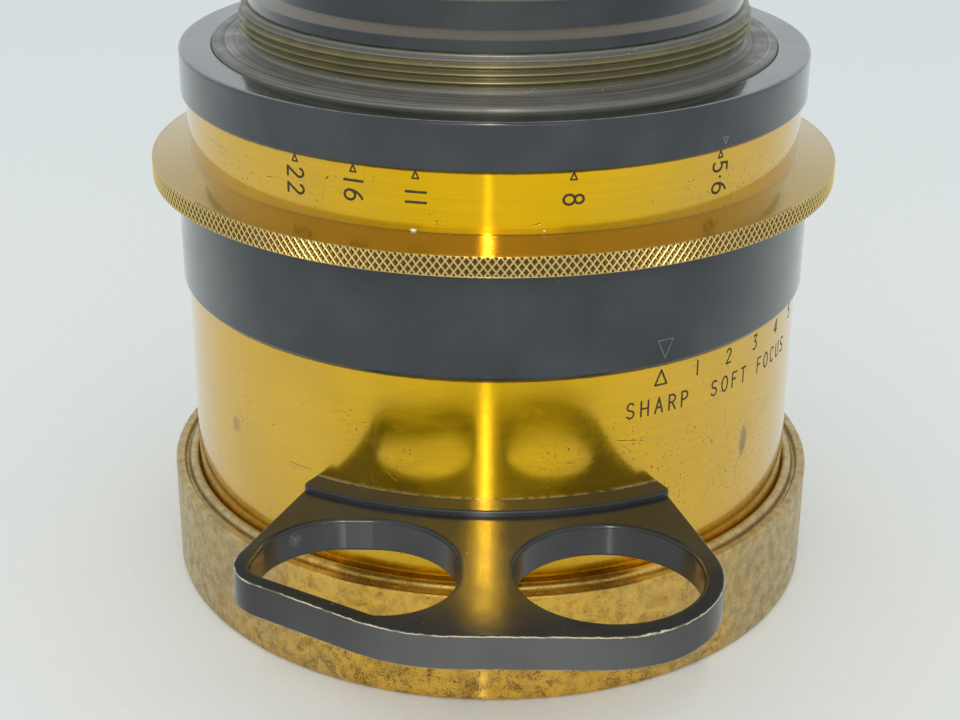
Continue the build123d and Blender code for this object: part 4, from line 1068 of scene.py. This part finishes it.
def engraving(name, body, slot, material, marks):
    """Make and hang one piece from a list of (strokes, stroke width, wrap)."""
    vertices, faces = [], []
    for strokes, width, wrap in marks:
        engrave(strokes, width, wrap, vertices, faces)
    work = mesh_piece(name, vertices, faces, materials[material])
    merge = bmesh.new()
    merge.from_mesh(work.data)
    bmesh.ops.remove_doubles(merge, verts=merge.verts, dist=SAME_POINT)
    bmesh.ops.dissolve_degenerate(merge, edges=merge.edges, dist=SAME_POINT)
    bmesh.ops.recalc_face_normals(merge, faces=merge.faces)
    for face in merge.faces:
        face.smooth = False
    merge.to_mesh(work.data)
    merge.free()
    place(work, body, slot)


F_HEIGHT = 2.7
SOFT_HEIGHT = 2.15
WORD_HEIGHT = 2.28
WORD_GAP = 1.14
# Each f-number: azimuth, level, text and the gap between its figures.
F_NUMBERS = ((-34.6, 73.65, "22", 1.05), (-23.2, 73.8, "16", 1.25), (-12.45, 73.75, "11", 1.25),
             (13.1, 73.6, "8", 0.0), (41.3, 73.5, "5.6", 0.85))
scale_marks = []
for azimuth, level, text, gap in F_NUMBERS:
    wrap = round_wrap(SCALE_RADIUS, azimuth, level, turned_down=True)
    scale_marks.append((written(text, F_HEIGHT, gap), 0.36, wrap))
    pointer = round_wrap(SCALE_RADIUS, azimuth - 0.05, 76.3)
    scale_marks.append((scaled(TRIANGLE, 0.86, 0.98), 0.24, pointer))
engraving("iris_scale_figures", "iris_ring", "black_lacquer", "wax", scale_marks)

SOFT_FIGURES = ((37.4, "1"), (45.2, "2"), (53.3, "3"), (61.9, "4"), (70.5, "5"))
soft_marks = [(scaled(TRIANGLE, 1.95, 2.15), 0.29, round_wrap(barrel_radius, 29.6, 45.58))]
for azimuth, text in SOFT_FIGURES:
    wrap = round_wrap(barrel_radius, azimuth, 46.6)
    soft_marks.append((written(text, SOFT_HEIGHT, 0.0), 0.28, wrap))
for azimuth, text in ((29.35, "SHARP"), (45.9, "SOFT"), (60.9, "FOCUS")):
    wrap = round_wrap(barrel_radius, azimuth, 42.42)
    soft_marks.append((written(text, WORD_HEIGHT, WORD_GAP), 0.28, wrap))
engraving("soft_focus_figures", "front_tube", "black_lacquer", "wax", soft_marks)

fixed_marks = [
    (scaled(TRIANGLE, -2.45, -2.7), 0.11, round_wrap(name_radius, 29.55, 52.6)),
    (scaled(TRIANGLE, -0.95, -1.0), 0.12, round_wrap(index_radius, 41.3, 79.3)),
]
engraving("fixed_index_marks", "barrel", "black_lacquer", "index_wax", fixed_marks)

# ---- CAD nodes that stay
KEPT = {
    "handle": ["knuckle_handle"],
    "cell": ["rear_cell", "rear_retaining_ring", "front_cell", "front_retaining_ring",
             "middle_cell", "middle_retaining_ring"],
    "inner": ["guide_barrel", "barrel_retaining_ring", "front_carrier", "iris_retaining_ring",
              "iris_pivot_plate", "iris_drive_ring"],
    "plain": ["cam_sleeve", "handle_screws"],
    "screws": ["cam_screws", "cam_sleeve_screws", "name_ring_screws", "index_ring_screws",
               "iris_key_screw"],
    "glass": ["front_lens", "middle_lens", "rear_lens"],
    "steel": [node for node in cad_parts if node.startswith("iris_blade")],
}
for key, nodes in KEPT.items():
    for node in nodes:
        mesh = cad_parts[node].data
        mesh.materials.clear()
        mesh.materials.append(materials[key])
